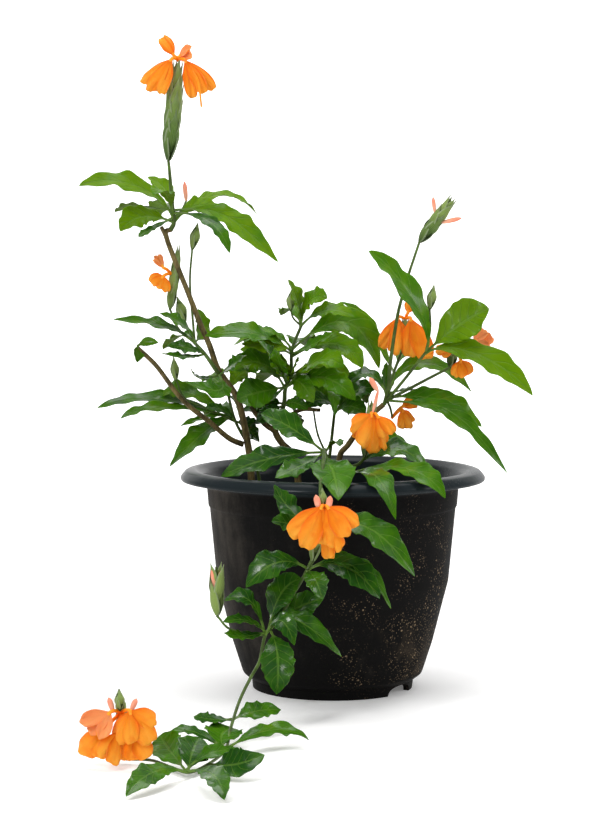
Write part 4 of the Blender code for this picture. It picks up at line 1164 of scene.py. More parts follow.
# %% Shoot: low left
grow_node("shoot_low_left", [
    twig(1.7, 1.2, *foot(-64, 30), (-70, 205, 30), (-86, 236, 23),
         (-93, 262, 22)),
    twig(1, 0.8, (-86, 236, 23), (-112, 248, 18), (-131, 257, 12), (-138.8, 274, 8)),
    *green_bud(3.6, (-138.8, 273, 8), (-140.8, 294, 8)),
    *leaves(0.6, (-86, 236, 23), (-93, 262, 22), [
        ((22, 35), (-128, 262, 22), (-150, 259, 24)),
        ((20, 25, 5, -0.4), (-150, 256, 22), (-209, 248, 14)),
        ((15, 25, 5), (-150, 249, 8), (-188, 238.5, -6)),
        ((10, 20, 3), (-112, 240, 14), (-135, 232, 4)),
        ((24, 35, 4, -0.2), (-112, 228, 26), (-144.5, 196, 14)),
        ((22, 0), (-100, 250, 40), (-112, 240, 68)),
        ((21, 60, 3, -0.4), (-77, 232, 28), (-65, 218, 33)),
    ]),
    *leaves(0.85, (-93, 262, 22), (-86, 236, 23), [
        ((22, 20), (-104, 274, 36), (-112, 276, 58)),
        ((18, 30, 3), (-84, 276, 24), (-72, 283, 30)),
        ((16, 60, 3), (-86, 252, 38), (-83, 240, 52)),
    ]),
])

# %% Shoot: middle
grow_node("shoot_middle", [
    twig(2.2, 1.3, (-46.7, 240.6, 30.8), (-43, 253, 28), (-42, 265, 24), (-37, 279, 20), (-36, 300, 16),
         (-28, 321, 13)),
    twig(0.9, 0.8, (-28, 321, 13), (-35, 328, 11), (-37.3, 336, 10)),
    *green_bud(3.8, (-37.3, 335, 10), (-36.6, 353, 10)),
    *leaves(0.895, (-28, 321, 13), (-36, 300, 16), [
        ((21, 60), (-31, 341, 8), (-39.6, 362, 4)),
        ((23, 50), (-20, 343, 4), (-5, 345, -4)),
        ((20, 35), (-6, 334.5, 5), (19.4, 329, 0)),
        ((22, 10), (-34, 336, 34), (-46, 330, 58)),
    ]),
    *leaves(0.62, (-36, 300, 16), (-37, 279, 20), [
        ((31, 55, 5), (12, 324, 25), (41, 283, 26)),
        ((24, 45), (2, 305, 8), (26, 283, -4)),
        ((15, 45), (-17, 305, -2), (1, 315, -10)),
        ((25, 35, 5), (-70, 314, -4), (-113, 312, -10)),
        ((25, 50), (-58, 306, 34), (-84, 316, 46)),
        ((22, 20), (-57, 314, 14), (-88, 303.5, 20)),
        ((24, 0), (-30, 310, 42), (-20, 300, 74)),
    ]),
    *leaves(1.02, (-38.5, 274, 21.5), (-36, 300, 16), [
        ((22, 50), (-58, 296, 30), (-82, 300, 38)),
        ((12, 210, 3), (-41, 286, 8), (-46, 297, 2)),
        ((12, 210, 3), (-28, 284, 6), (-18, 290, 0)),
        ((23, 45), (-8, 284, 32), (18, 272, 40)),
    ]),
    *leaves(0.52, (-42, 265, 24), (-37, 279, 20), [
        ((25, 40, 4, 0.3), (-13, 290, -14), (9, 284, -26)),
        ((23, 50), (-8, 275, -12), (20, 255, -24)),
        ((12, 210, 3, 0.5), (-43, 277, 4), (-46, 288, -8)),
        ((20, 60, 4, -0.25), (-52, 290, -8), (-67, 309, -20)),
        ((16, 200, 3, 0.2), (-46, 285, -14), (-51, 301, -30)),
        ((29, 60, 4, -0.3), (-66, 262, 0), (-85, 256, -8)),
        ((25, 50, 4, -0.1), (-64, 288, 10), (-94, 281, 10)),
        ((20, 65, 3), (-27, 269, 2), (-17, 253, -8)),
        ((24, 0), (-52, 280, 50), (-66, 270, 78)),
        ((24, 0), (-30, 278, 52), (-22, 264, 84)),
        ((15, 40, 3), (-56, 254, 36), (-74, 249, 48)),
    ]),
])

# %% Shoot: low middle
grow_node("shoot_low_middle", [
    twig(1.8, 1.3, *foot(-8, 40), (-3, 204, 38), (0, 230, 33), (2, 248, 26)),
    *leaves(0.35, (2, 248, 26), (0, 230, 33), [
        ((18, 45, 3), (-10, 256, 14), (-24, 249, 4)),
        ((14, 30, 3), (0, 262, -2), (2, 241, -18)),
        ((19, 50, 3), (16, 250, 18), (29, 242, 8)),
        ((24, 0), (-8, 262, 50), (-20, 248, 80)),
        ((24, 0), (16, 264, 48), (30, 252, 78)),
        ((22, 45), (-10, 262, 34), (-30, 264, 44)),
        ((22, 45), (18, 262, 32), (38, 266, 42)),
    ]),
])

# %% Shoot: right
grow_node("shoot_right", [
    twig(1.9, 1.1, (45.9, 252.4, 2.7), (49.5, 268, -2), (50.8, 288, -5), (56.5, 327, -8),
         (61.4, 348, -9), (66, 364, -8), (76, 394.5, -6)),
    twig(1.5, 1.2, (48, 255, 1), (66, 277, -4), (82, 297.5, -8)),
    twig(1.5, 1.2, (48, 255, 1), (80, 272, 7), (103, 284, 10)),
    twig(1.3, 1.1, (48, 255, 1), (54, 280, 16), (61.6, 300, 22)),
    twig(1, 0.9, (82, 297.5, -8), (86, 318, -1), (85.4, 337, 0)),
    twig(1.1, 1, (48, 255, 1), (51, 248, 8), (52.5, 241, 12)),
    *green_bud(4, (85.4, 336, 0), (89.3, 357.5, 0)),
    *leaves(0.8, (82, 297.5, -8), (66, 277, -4), [
        ((27, 45, 5), (109, 301, -15), (145, 287, -22), (177, 259, -25)),
        ((25, 55, 5), (79.5, 327, -22), (57.5, 363, -24), (31.3, 387, -20)),
        ((39, 66, 5), (112, 322, -14), (138, 336, -22)),
    ]),
    *leaves(0.8, (54, 280, 16), (48, 255, 1), [
        ((13, 20), (44, 300, 46), (28, 326, 55), (6, 342, 52)),
        ((24, 0), (66, 300, 44), (76, 292, 72)),
    ]),
    *leaves(0.45, (48, 255, 1), (50.8, 288, -5), [
        ((17, 45), (65, 284, 14), (92, 286, 18), (123, 262, 14)),
        ((17, 50, 6), (84, 252, -6), (114, 238, -14), (155, 190, -20)),
        ((28, 45, 5), (92, 255, 10), (132, 231.5, 14)),
        ((19, 30, 3), (32, 278, 6), (11, 268, 2)),
        ((13, 50, 3), (46, 272, 14), (47.5, 289, 18)),
        ((25, 0), (78, 262, 40), (98, 244, 66)),
        ((24, 0), (44, 276, 44), (50, 262, 76)),
    ]),
])

# %% Shoot: low right
grow_node("shoot_low_right", [
    twig(2, 1.3, *foot(14, -42), (15, 192, -44), (24, 199, -47),
         (28, 204, -49.5)),
    *leaves(0.42, (24, 199, -47), (15, 192, -44), [
        ((20, 40, 3), (50, 219, -20), (70, 209, -8)),
    ]),
    *leaves(0.42, (15, 192, -44), real(14, -42, 170), [
        ((23, 35), (54, 212, -52), (83.6, 192, -50)),
        ((23, 25, 5), (48, 196, -70), (78, 190, -104), (100, 168, -118)),
        ((22, 10, 5), (26, 191, -85), (40, 186, -124), (56, 149, -150)),
    ]),
])

# %% Shoot: trailing
grow_node("shoot_trailing", [
    twig(1.725, 1.1, *foot(-6, -58), (-7, 209, -60), real(-9, -94, 212),
         real(-11, -124, 201), real(-12, -141, 190), (-10, 135, -146), (-22, 105, -148),
         (-35, 82, -150), (-48, 60, -154), (-60, 45, -158), (-65, 22, -174), (-73, 7, -193),
         (-83, -14, -216), (-91, -39, -252), lying(-96, -58.6, 5.5), lying(-112, -72, 4.5),
         lying(-129, -79, 4.5), lying(-145, -74, 4.5), lying(-162, -68, 5), (-184, -67, -316)),
    twig(1.1, 1, (-60, 45, -158), (-90, 50, -154), (-102.5, 62, -152)),
    twig(1.3, 1, (-22, 105, -148), (-21, 106, -156), (-17.9, 110.8, -160.4)),
    *leaves(0.3, (-7, 209, -60), real(-9, -94, 212), [
        ((27, 45, 5), (-38, 231, -62), (-63.6, 243, -64)),
        ((28, 40, 5), (-56, 203, -62), (-99, 187.5, -50)),
        ((38, 0, 5), (-3, 198, -96), (1, 189, -122), (5, 166, -146)),
        ((20, 30), (-30, 196, -82), (-51, 186, -92)),
        ((12, 0, 3), (2, 218, -66), (6, 214, -78)),
    ]),
    *leaves(0.3, (-10, 135, -146), (-22, 105, -148), [
        ((21, 45), (-37, 157, -152), (-52, 180, -150)),
        ((22, 35), (-36, 144, -152), (-54, 147, -156)),
        ((28, 40, 5), (30, 142, -152), (73, 98, -160)),
    ]),
    *leaves(0.3, (-22, 105, -148), (-35, 82, -150), [
        ((27, 40), (-50, 110, -160), (-77, 88, -164)),
        ((27, 45, 5), (12, 106, -152), (42, 78, -158)),
        ((20, 30, 5), (18, 110, -146), (52, 69, -150)),
        ((19, 10, 3), (-16, 96, -166), (-9, 77, -172)),
    ]),
    *leaves(0.3, (-60, 45, -158), (-48, 60, -154), [
        ((26, 50), (-46, 82, -150), (-28, 96, -152)),
        ((26, 45), (-34, 68, -142), (-8, 78, -140)),
        ((19, 30), (-74, 76, -160), (-96, 76, -162)),
        ((14, 25, 3), (-76, 58, -166), (-98, 57, -170)),
        ((15, 25, 3), (-78, 44, -168), (-97, 47, -176)),
        ((28, 10, 5), (-49, 26, -184), (-50, -8, -196)),
        ((18, 35, 3), (-46, 58, -170), (-34, 36, -178)),
        ((24, 35, 5), (-36, 60, -158), (8, 26, -164)),
    ]),
    *leaves(0.3, (-89, -31, -238), (-83, -14, -216), [
        ((15, 25, 3), (-108, -31, -246), (-124, -28, -242)),
        ((19, 35), (-70, -24, -226), (-46, -22, -206)),
    ]),
    *leaves(0.3, lying(-96, -58.6, 5.5), lying(-112, -72, 4.5), [
        ((17, 25, 5), (-71, -45, -277), (-45, -40.5, -260), (-21, -50, -268)),
        ((30, 10), (-99, -45, -264), (-88, -39, -240)),
        ((13, 20, 3), (-122, -43, -286), (-144, -41, -282)),
    ]),
    *leaves(0.3, lying(-112, -72, 4.5), lying(-129, -79, 4.5), [
        ((25, 58), (-97, -72.5, -354), (-83, -71, -368), (-60.5, -63, -362)),
    ]),
    *leaves(0.3, lying(-129, -79, 4.5), lying(-145, -74, 4.5), [
        ((28, 25, 3), (-126, -62, -345), (-119, -47, -326)),
        ((15, 30), lying(-104, -60, 15), lying(-78, -67, 6)),
        ((18, 20), lying(-107, -81, 14), lying(-97, -104, 3)),
        ((18, 35), lying(-160, -79, 13), lying(-185, -101, 3)),
        ((26, 35, 3), (-146, -58, -330), (-154, -45, -312)),
    ]),
])

# %% [markdown]
# ## Old stems
# Three woody stems carry the upper shoots. Each is thickest where it leaves the soil and forks where
# it was once cut. They run through the soil's own holes, so their feet are straight. Two wilted
# leaves hang at the end of the cut branch.

# %% Old stems
grow_node("stem_old", [
    twig(4, 2.1, *foot(-72, 14), (-73.5, 204, 14), (-80, 241, 11),
         (-86, 260, 9), (-101, 282, 5), (-109, 304, 2), (-118, 325, -1), (-128, 351, -4),
         (-146.6, 399, -8), (-142.5, 406, -8), wood=1.0),
    twig(2.1, 1.7, (-146.6, 399, -8), (-151, 408, -5), wood=1.0),
    twig(2.7, 2, (-79.5, 216, 13), (-92, 221.5, 9), (-110, 236.7, 3), (-126, 249, -2),
         (-138.6, 262, -6), (-156, 285.7, -9), (-173, 302, -10), wood=1.0),
], "old_wood")
grow_node("stem_middle", [
    twig(3.6, 2.8, *foot(-30, 30), (-34, 204, 32), (-45, 217, 33),
         (-51, 228, 33), (-47, 240, 31), wood=1.0),
    twig(3, 2.2, (-51, 228, 33), (-60, 234, 36), (-68, 243, 38), (-72, 250, 38), wood=1.0),
    twig(2.4, 1.6, (-50, 232, 33), (-30, 246, 40), (-11, 246.5, 42), wood=1.0),
], "old_wood")
grow_node("stem_right", [
    twig(3.2, 2.3, *foot(6, 12), (6, 204, 12), (14, 216, 10), (28, 236, 7),
         (45, 251.5, 3), wood=1.0),
], "old_wood")

# %% Wilted leaves
WILTED_LOOK = {**LEAF_LOOK, "Fold": 0.5, "Wide wave": 0.05, "Fine wave": 0.04}
WILTED_YOUTH = 0.7
cut_end = seen(-172.3, 303, -12.4)
wilted = [leaf([cut_end, seen(-174, 297, -16), seen(-173, 288.5, -18)], WILTED_YOUTH, 15, 60, 3)[1],
          leaf([cut_end, seen(-165, 306, -16), seen(-154, 306, -18)], WILTED_YOUTH, 9, 60, 3)[1]]
put_on(grow("leaf_pruned_leaves", wilted, FLAT, WILTED_LOOK), "leaf_pruned", "leaf_green")

# %% [markdown]
# ## Spikes
# Each spike starts just past the cut end of its stalk and runs on beyond its last bract. A row holds
# its radius, its layers and its turn in degrees, then the last two points of its stalk and its top.
# Younger spikes are paler and more closed, and some end in a green bud or in pink ones.

# %% Spikes
SEAT = 0.3
SPIKE_POINT = 3.0
SPIKES = {
    "spike_top": ((7.8, 6, 20), (-143.3, 453, -8), (-144.5, 466, -8), (-135.8, 553, -8)),
    "spike_left": ((4.8, 4, 60), (-136, 318, 7), (-143.7, 335.5, 11), (-136, 390, 13)),
    "spike_tall_right": ((6.4, 4, 30), (66, 364, -8), (76, 394.5, -6), (104.7, 432, -8)),
    "spike_right": ((5, 3, 0), (54, 280, 16), (61.6, 300, 22), (64, 326, 20)),
    "spike_far_right": ((5.2, 3, 40), (80, 272, 7), (103, 284, 10), (111, 313, 8)),
    "spike_middle": ((5.6, 4, 20), (24, 199, -47), (28, 204, -49.5), (35.4, 253, -54)),
    "spike_front": ((6.2, 4, 10), (-21, 106, -156), (-17.9, 110.8, -160.4), (-7, 168, -163)),
    "spike_hanging_left": ((6.6, 2, 45), (-90, 50, -154), (-102.5, 62, -152), (-103.5, 108, -150)),
    "spike_floor": ((5.8, 4, 10), lying(-162, -68, 5), (-184, -67, -316), (-190.5, -6, -318)),
}
# How far the points of the bracts lean out, how pale they are and how far they close
GROWN = (0.24, 0.15, 0.2)
YOUNGER = {"spike_hanging_left": (0.5, 0.8, 0.0), "spike_left": (0.0, 0.6, 1.4),
           "spike_floor": (0.0, 0.8, 1.9), "spike_middle": (0.2, 0.4, 0.3),
           "spike_tall_right": (0.16, 0.3, 0.3), "spike_front": (0.05, 0.6, 1.4)}
# Buds that stand on a spike
SPIKE_TIPS = {
    "spike_front": green_bud(3.2, (-8.5, 160, -168), (-9.3, 177.5, -168)),
    "spike_floor": green_bud(3.6, (-189.8, -22, -326), (-190.7, -3, -326)),
    "spike_hanging_left": [bud(2, (-104, 86, -153), (-107.5, 105, -153)),
                           bud(2, (-101.5, 84, -153), (-99.5, 103, -153))],
}


def seated(before, end, top):
    """Where a spike starts so that its root just clears the cut end of its stalk."""
    along = (top - end).normalized()
    return end + along * (SEAT + STALK_END * math.sin(along.angle(end - before)))


for name, (sizes, *points) in SPIKES.items():
    before, end, top = map(place_of, points)
    point = top + (top - end).normalized() * SPIKE_POINT
    bracts = spike(seated(before, end, top), point, *sizes, *YOUNGER.get(name, GROWN))
    grow_node(name, bracts + SPIKE_TIPS.get(name, []))

# %% [markdown]
# ## Petals
# A crossandra flower has a long thin tube and then a lip of rounded lobes, all on one side, that
# hangs like a skirt. The lobes overlap, so each is a thin skin of its own: rows of points that start
# at a slim claw, broaden, end in a round rim, droop, and ruffle at the edge. The lip could be one
# fan with notches in its rim, but then no lobe would lie over the next. The columns of points stand
# closer together at a lobe's sides, where its rim turns.

# %% One lobe
PETAL_ROWS = 14
PETAL_COLUMNS = 12
OVERLAP = 1.34
BROAD_FROM = 0.8
ROUND_END = 0.3
SAG = 0.2


def lobe_width(s):
    """Share of a lobe's greatest half width at s along it: a slim claw that soon broadens."""
    return 0.05 + 0.95 * math.sin(math.pi / 2 * min(s / BROAD_FROM, 1.0)) ** 1.3


def lobe_shape(neck, frame_of, size, turn, pitch, reach, rise):
    """The rows of one lobe, with each point's place, share along and across, and painted shade."""
    along, side, up = frame_of
    out = along * math.cos(turn) + side * math.sin(turn)
    across = side * math.cos(turn) - along * math.sin(turn)
    beat = draw.uniform(0.0, 6.0)
    tilt = draw.uniform(-0.12, 0.12)
    widest = size * reach * BROAD_FROM * math.tan(pitch / 2) * OVERLAP
    rows = []
    for i in range(PETAL_ROWS + 1):
        s = i / PETAL_ROWS
        half = widest * lobe_width(s)
        row = []
        for j in range(PETAL_COLUMNS + 1):
            t = math.sin(math.pi * (j / PETAL_COLUMNS - 0.5))
            arch = 1.0 - math.sqrt(1.0 - t * t)
            share = reach * s * (1.0 - ROUND_END * arch + 0.03 * s ** 3 * math.sin(5.0 * t + beat))
            droop = -0.16 * share ** 2 - 0.1 * math.sin(turn) ** 2 * share
            groove = 0.05 * size * math.exp(-(t / 0.22) ** 2) * s * (1.0 - s)
            crown = 0.36 * half * (1.0 - t * t) - groove
            ruffle = 0.05 * math.sin(3.5 * t + beat) + 0.035 * math.sin(8.0 * t - beat + 5.0 * s)
            ruffle *= size * s * s
            height = size * (droop + rise * s) + crown + ruffle + tilt * half * t
            place = neck + out * size * share + across * half * t + up * height
            place.z -= SAG * size * share ** 2 * math.sin(turn) ** 2
            # Painted shade: deeper orange along the lobe's sides, where the next lobe lies over it, and
            # down its middle near the throat.
            crease_shade = 1.1 * abs(t) ** 3 * (1.0 - 0.5 * s)
            crease_shade += 0.7 * math.exp(-(t / 0.16) ** 2) * (1.0 - s) ** 1.2
            row.append((place, s, t, crease_shade))
        rows.append(row)
    return rows


print("one lobe is", PETAL_COLUMNS + 1, "points wide")


# %% A one-sided lip
def lip_lobes(neck, tip, roll, spread, count):
    """A flower's one-sided lip: lobes side by side round the neck, each overlapping the next."""
    middle = tip - neck
    along = middle.normalized()
    side, up = turned(along, middle, roll)
    half = math.radians(spread) / 2
    pitch = 2.0 * half / count
    made = []
    for lobe in range(count):
        turn = pitch * (lobe + 0.5) - half
        reach = (1.0 - 0.14 * abs(turn) / max(half, 0.01)) * draw.uniform(0.88, 1.06)
        rise = (0.06 if lobe % 2 else -0.03) + draw.uniform(-0.03, 0.03)
        rows = lobe_shape(neck, (along, side, up), middle.length, turn, pitch, reach, rise)
        made.append((rows, up))
    return made


print("a lip's lobes overlap by", round((OVERLAP - 1.0) * 100), "percent")

# %% A closed thin skin
PETAL_THICK = 0.45
LEAST_NORMAL = 1e-6


def sheet(rows, up, tone):
    """A closed thin skin from rows of points: an upper and a lower face and their rim."""
    wide = len(rows[0])
    count = wide * len(rows)
    # Each point also carries the painted shade of its lobe.
    points, notes = [], {"along": [], "across": [], "crease_shade": [], "tone": [], "face": []}
    for sign in (0.5, -0.5):
        for i, row in enumerate(rows):
            for j, (place, along, across, crease_shade) in enumerate(row):
                lower, upper = rows[max(i - 1, 0)], rows[min(i + 1, len(rows) - 1)]
                run = upper[j][0] - lower[j][0]
                cross = row[min(j + 1, wide - 1)][0] - row[max(j - 1, 0)][0]
                normal = cross.cross(run)
                normal = normal.normalized() if normal.length > LEAST_NORMAL else up
                points.append(place + normal * PETAL_THICK * sign)
                for key, value in zip(notes, (along, across, crease_shade, tone, -2.0 * sign)):
                    notes[key].append(value)
    faces = []
    for i in range(len(rows) - 1):
        for j in range(wide - 1):
            a, b = i * wide + j, i * wide + j + 1
            faces.append((a, b, b + wide, a + wide))
            faces.append((a + wide + count, b + wide + count, b + count, a + count))
    rim = list(range(wide)) + [i * wide + wide - 1 for i in range(1, len(rows))]
    rim += list(range(count - 2, count - wide - 1, -1)) + [i * wide for i in range(len(rows) - 2, 0, -1)]
    for a, b in zip(rim, rim[1:] + rim[:1]):
        faces.append((b, a, a + count, b + count))
    return points, faces, notes


print("a petal is", PETAL_THICK, "mm thick")

# %% A head of flowers
TUBE_RADII = (1.35, 1.5)
TUBE_RISE = 0.8
TUBE_IN_LIP = 2.0


def flower_lips(name, flowers):
    """All the lips of one head as one mesh."""
    points, faces, notes = [], [], {}
    for flower in flowers:
        for rows, up in lip_lobes(*flower):
            more, skin, known = sheet(rows, up, draw.random())
            faces += [tuple(corner + len(points) for corner in face) for face in skin]
            points += more
            for key, values in known.items():
                notes.setdefault(key, []).extend(values)
    mesh = mesh_of(name, points, faces)
    add_notes(mesh, notes)
    mesh.shade_smooth()
    mesh.materials.append(PETAL)
    made = placed(name, mesh)
    settle(made)
    return made


def flower_tubes(joint, flowers):
    """The slim tubes that carry the lips, from the spike out."""
    made = []
    for neck, tip, *_ in flowers:
        bend = joint.lerp(neck, 0.6) + Vector((0.0, 0.0, TUBE_RISE))
        end = neck + (tip - neck).normalized() * TUBE_IN_LIP
        made.append(tube(*TUBE_RADII, joint, bend, neck, end))
    return made


print("a flower's tube is", 2 * TUBE_RADII[0], "mm across at its root")

# %% Flowers
# A head's first point is the joint where its tubes meet. Then each flower has its roll, the spread of
# its lobes in degrees and their number, and its neck and the tip of its middle lobe.
BLOOMS = {
    "bloom_top": ((-135.6, 553.7, -8.3), [
        ((58, 56, 3), (-141, 555, -14), (-165, 524, -22)),
        ((60, 48, 2), (-139, 557, -8), (-151, 578, -9)),
        ((238, 74, 2), (-136, 556, -8), (-122, 563, -15)),
        ((58, 52, 3), (-130, 554, -14), (-111, 523, -22)),
    ]),
    "bloom_left": ((-142.6, 367, 10.1), [
        ((60, 130, 4), (-149, 365, 4), (-158, 354, 0)),
        ((230, 60, 3), (-149, 372, 8), (-157.5, 383, 8)),
    ]),
    "bloom_right": ((64, 327, 18.6), [
        ((64, 66, 3), (57.5, 329, 13), (53.5, 291, 9)),
        ((64, 50, 2), (68.5, 328, 12), (76.5, 288, 7)),
        ((60, 70, 2), (66, 332, 16), (69, 343, 15)),
    ]),
    "bloom_far_right": ((109, 299, 3), [
        ((235, 110, 3), (124, 307, 2), (142, 310, 4)),
        ((50, 80, 3), (106, 302, 0), (91, 297, -3)),
        ((60, 100, 3), (113, 291, -1), (115.5, 273, -4)),
    ]),
    "bloom_middle": ((35, 243, -56.7), [
        ((62, 128, 4), (34, 243, -64), (31.5, 207.5, -74)),
        ((60, 55, 2), (39, 242, -62), (52, 221, -66)),
    ]),
    "bloom_behind": ((52.7, 240, 12.8), [
        ((58, 84, 3), (61, 247, 14), (69, 230, 14)),
        ((45, 60, 2), (61, 249, 16), (76, 258, 16)),
    ]),
    "bloom_front": ((-7, 160, -166.3), [
        ((62, 76, 3), (-9.5, 161, -175), (-25, 123, -187)),
        ((62, 80, 3), (-5, 161, -175), (16, 130, -185)),
        ((62, 44, 2), (-4, 152, -174), (1, 112, -180)),
    ]),
    "bloom_floor": ((-188.5, -24, -320.6), [
        ((60, 130, 4), (-181, -23, -336), (-171, -56, -346)),
        ((235, 80, 3), (-198, -24, -332), (-220, -46, -338)),
        ((55, 74, 2), (-203, -40, -330), (-219, -68, -334)),
        ((60, 90, 3), (-192, -42, -334), (-196, -72, -340)),
        ((60, 80, 2), (-178, -45, -336), (-171, -72, -342)),
    ]),
}
# One hanging style, and the buds that stand beside the flowers
BLOOM_EXTRAS = {
    "bloom_top": [tube(0.85, 0.85, (-124, 546, -22), (-118, 534, -27), (-115.5, 514, -27))],
    "bloom_front": [bud(2.7, (-12, 158, -173), (-15, 171, -172)),
                    bud(2.7, (-4, 158, -173), (-2, 170, -175))],
    "bloom_middle": [bud(1.5, (35, 243, -58), (40.5, 265, -60)),
                     bud(2.4, (40, 263, -60), (32.5, 275.5, -60))],
    "bloom_floor": [bud(2.2, (-196, -24, -326), (-200, -11, -324)),
                    bud(2.2, (-180, -23, -330), (-175, -12, -326))],
}
for name, (joint, rows) in BLOOMS.items():
    flowers = [(*map(place_of, points), *sizes) for sizes, *points in rows]
    put_on(flower_lips(name + "_lips", flowers), name, "petal_orange")
    grow_node(name, flower_tubes(place_of(joint), flowers) + BLOOM_EXTRAS.get(name, []))
grow_node("bud_tall_left", [bud(1.7, (89.6, 419.9, -8), (88, 434.5, -8))])
grow_node("bud_tall_right", [bud(2, (94.7, 411.6, -8), (113.5, 416, -8))])

# %% [markdown]
# ## Leaves deep in the bush
# Under and between the crowns stand short old leaves and bare stalks, and here and there a pale new
# leaf. They are too small to matter to the plain solids, so they are made here alone, each rooted in
# a stem. They come last, so that the random tones and ruffles above stay as they are.

# %% Inner leaves
inner_leaves = [
    *leaves(0.1, (-44, 250, 29), (-43, 253, 28), [
        ((22, 45), (-35, 247, 44), (-26, 229, 56)),
        ((19, 50), (-58, 252, 40), (-81, 246, 50)),
        ((15, 55, 3), (-55, 245, 20), (-68, 234, 16)),
        ((13, 50, 3), (-34, 253, 18), (-22, 247, 10)),
    ]),
    *leaves(1, (-38.5, 274, 21.5), (-37, 279, 20), [
        ((14, 235, 3), (-42, 283, 6), (-49, 291, -6)),
        ((13, 235, 3), (-35, 284, 8), (-31, 294, 0)),
    ]),
    *leaves(0.95, (-36, 300, 16), (-28, 321, 13), [
        ((17, 50), (-54, 303, 0), (-81, 305, -6)),
    ]),
    *leaves(0.35, (-86, 236, 23), (-93, 262, 22), [
        ((13, 40, 3), (-97, 246, 14), (-113, 249, 14)),
    ]),
]
inner_stalks = [
    twig(1.1, 0.8, (-4, 204, 38), (-13, 224, 42), (-17, 245.5, 41)),
]
put_on(grow("inner_leaves", [path for kind, path in inner_leaves], FLAT, LEAF_LOOK), None, "leaf_green")
put_on(grow("inner_stalks", [path for kind, path in inner_stalks], ROUND, TWIG_LOOK), None, "leaf_green")

# %% [markdown]
# ## Pot
# The pot is one turned shape: a foot ring with two arched notches, a wall that swells outwards in
# steps, and a rolled rim. A lathe outline with its corners rounded gives all of it, and the notches
# and the drain holes are cut with a Boolean, as a mould's inserts would leave them.

# %% Turned pot
POT_SIDES = 144
CORNER_PASSES = 2
FLOOR_UNDER = 9.0
FLOOR_TOP = 12.0
PAD_RADIUS = 12.0
FOOT_INNER = 66.0
FOOT_OUTER = 71.0
WALL_OUTSIDE = [(73.4, 9.0), (79.7, 13.5), (89.0, 42.0), (96.6, 72.0), (102.8, 96.0),
                (109.0, 161.5), (110.2, 162.5), (111.6, 180.0)]
WALL_INSIDE = [(73.0, 12.0), (77.0, 16.0), (86.2, 42.0), (100.0, 96.0), (106.4, 161.5)]
RIM_UNDER = [(125.0, 191.5), (132.0, 186.6)]
RIM_LIP = [(134.0, 184.6), (135.2, 187.8)]
RIM_TOP = [(130.5, 193.6), (122.0, 195.0), (113.5, 190.5), (109.0, 181.0)]


def eased(line):
    """The line with each corner cut, which rounds it a little."""
    cut = [line[0]]
    for a, b in zip(line, line[1:]):
        share = min(0.25, 1.2 / max(math.dist(a, b), 0.01))
        cut.append(tuple(p + (q - p) * share for p, q in zip(a, b)))
        cut.append(tuple(q + (p - q) * share for p, q in zip(a, b)))
    return cut + [line[-1]]


def turned_shape(name, profile, sides):
    """A closed solid turned round the pot's axis from a profile of (radius, height)."""
    points, rings, faces = [], [], []
    for radius, height in profile:
        count = 1 if radius == 0.0 else sides
        rings.append(list(range(len(points), len(points) + count)))
        for k in range(count):
            turn = 2 * math.pi * (k + 0.5) / sides
            points.append(Vector((radius * math.sin(turn), -radius * math.cos(turn), height)))
    for a, b in zip(rings, rings[1:]):
        for k in range(sides):
            corners = [a[k % len(a)], a[(k + 1) % len(a)], b[(k + 1) % len(b)], b[k % len(b)]]
            face = [c for i, c in enumerate(corners) if c not in corners[:i]]
            if len(face) > 2:
                faces.append(face)
    return placed(name, mesh_of(name, points, faces))


def pot_body():
    """The pot before anything is cut out of it."""
    under = [(0.0, 0.0), (PAD_RADIUS, 0.0), (PAD_RADIUS, FLOOR_UNDER), (FOOT_INNER, FLOOR_UNDER),
             (FOOT_INNER, 0.0), (FOOT_OUTER, 0.0), (FOOT_OUTER + 1.0, FLOOR_UNDER - 0.5)]
    skin = WALL_OUTSIDE + RIM_UNDER + RIM_LIP + RIM_TOP + WALL_INSIDE[::-1]
    for _ in range(CORNER_PASSES):
        skin = eased(skin)
    return turned_shape("pot_dressed", under + skin + [(0.0, FLOOR_TOP)], POT_SIDES)


pot = pot_body()
print("the turned pot has", len(pot.data.polygons), "faces")

# %% Notches and drain holes
NOTCH_TURNS = [56.0, 236.0]
NOTCH_WIDTH = 34.0
NOTCH_HEIGHT = 8.0
NOTCH_STEPS = 12
NOTCH_FROM, NOTCH_DEPTH = FOOT_INNER - 8.0, 21.0
DRAIN_RADIUS = 6.0
DRAIN_CIRCLE = 42.0
DRAIN_COUNT = 4
DRAIN_SIDES = 24
DRAIN_FROM, DRAIN_DEPTH = FLOOR_UNDER - 5.0, 14.0


def extruded(name, outline, start, step):
    """A closed prism from an outline of places, moved by a step."""
    count = len(outline)
    points = [start + p for p in outline] + [start + p + step for p in outline]
    faces = [list(range(count))[::-1], list(range(count, 2 * count))]
    faces += [[k, (k + 1) % count, (k + 1) % count + count, k + count] for k in range(count)]
    mesh = mesh_of(name, points, faces)
    turn_out(mesh)
    return bpy.data.objects.new(name, mesh)


def notch_cutter(degrees):
    angle = math.radians(degrees)
    outward = Vector((math.sin(angle), -math.cos(angle), 0.0))
    across = Vector((math.cos(angle), math.sin(angle), 0.0))
    turns = [math.pi * k / NOTCH_STEPS for k in range(NOTCH_STEPS, -1, -1)]
    arch = [(math.cos(turn) * 0.5, math.sin(turn) ** 0.7) for turn in turns]
    arch = [(-0.5, -0.4)] + arch + [(0.5, -0.4)]
    outline = [across * u * NOTCH_WIDTH + Vector((0.0, 0.0, v * NOTCH_HEIGHT)) for u, v in arch]
    return extruded("notch", outline, outward * NOTCH_FROM, outward * NOTCH_DEPTH)


def on_circle(turn, radius):
    return Vector((math.cos(turn), math.sin(turn), 0.0)) * radius


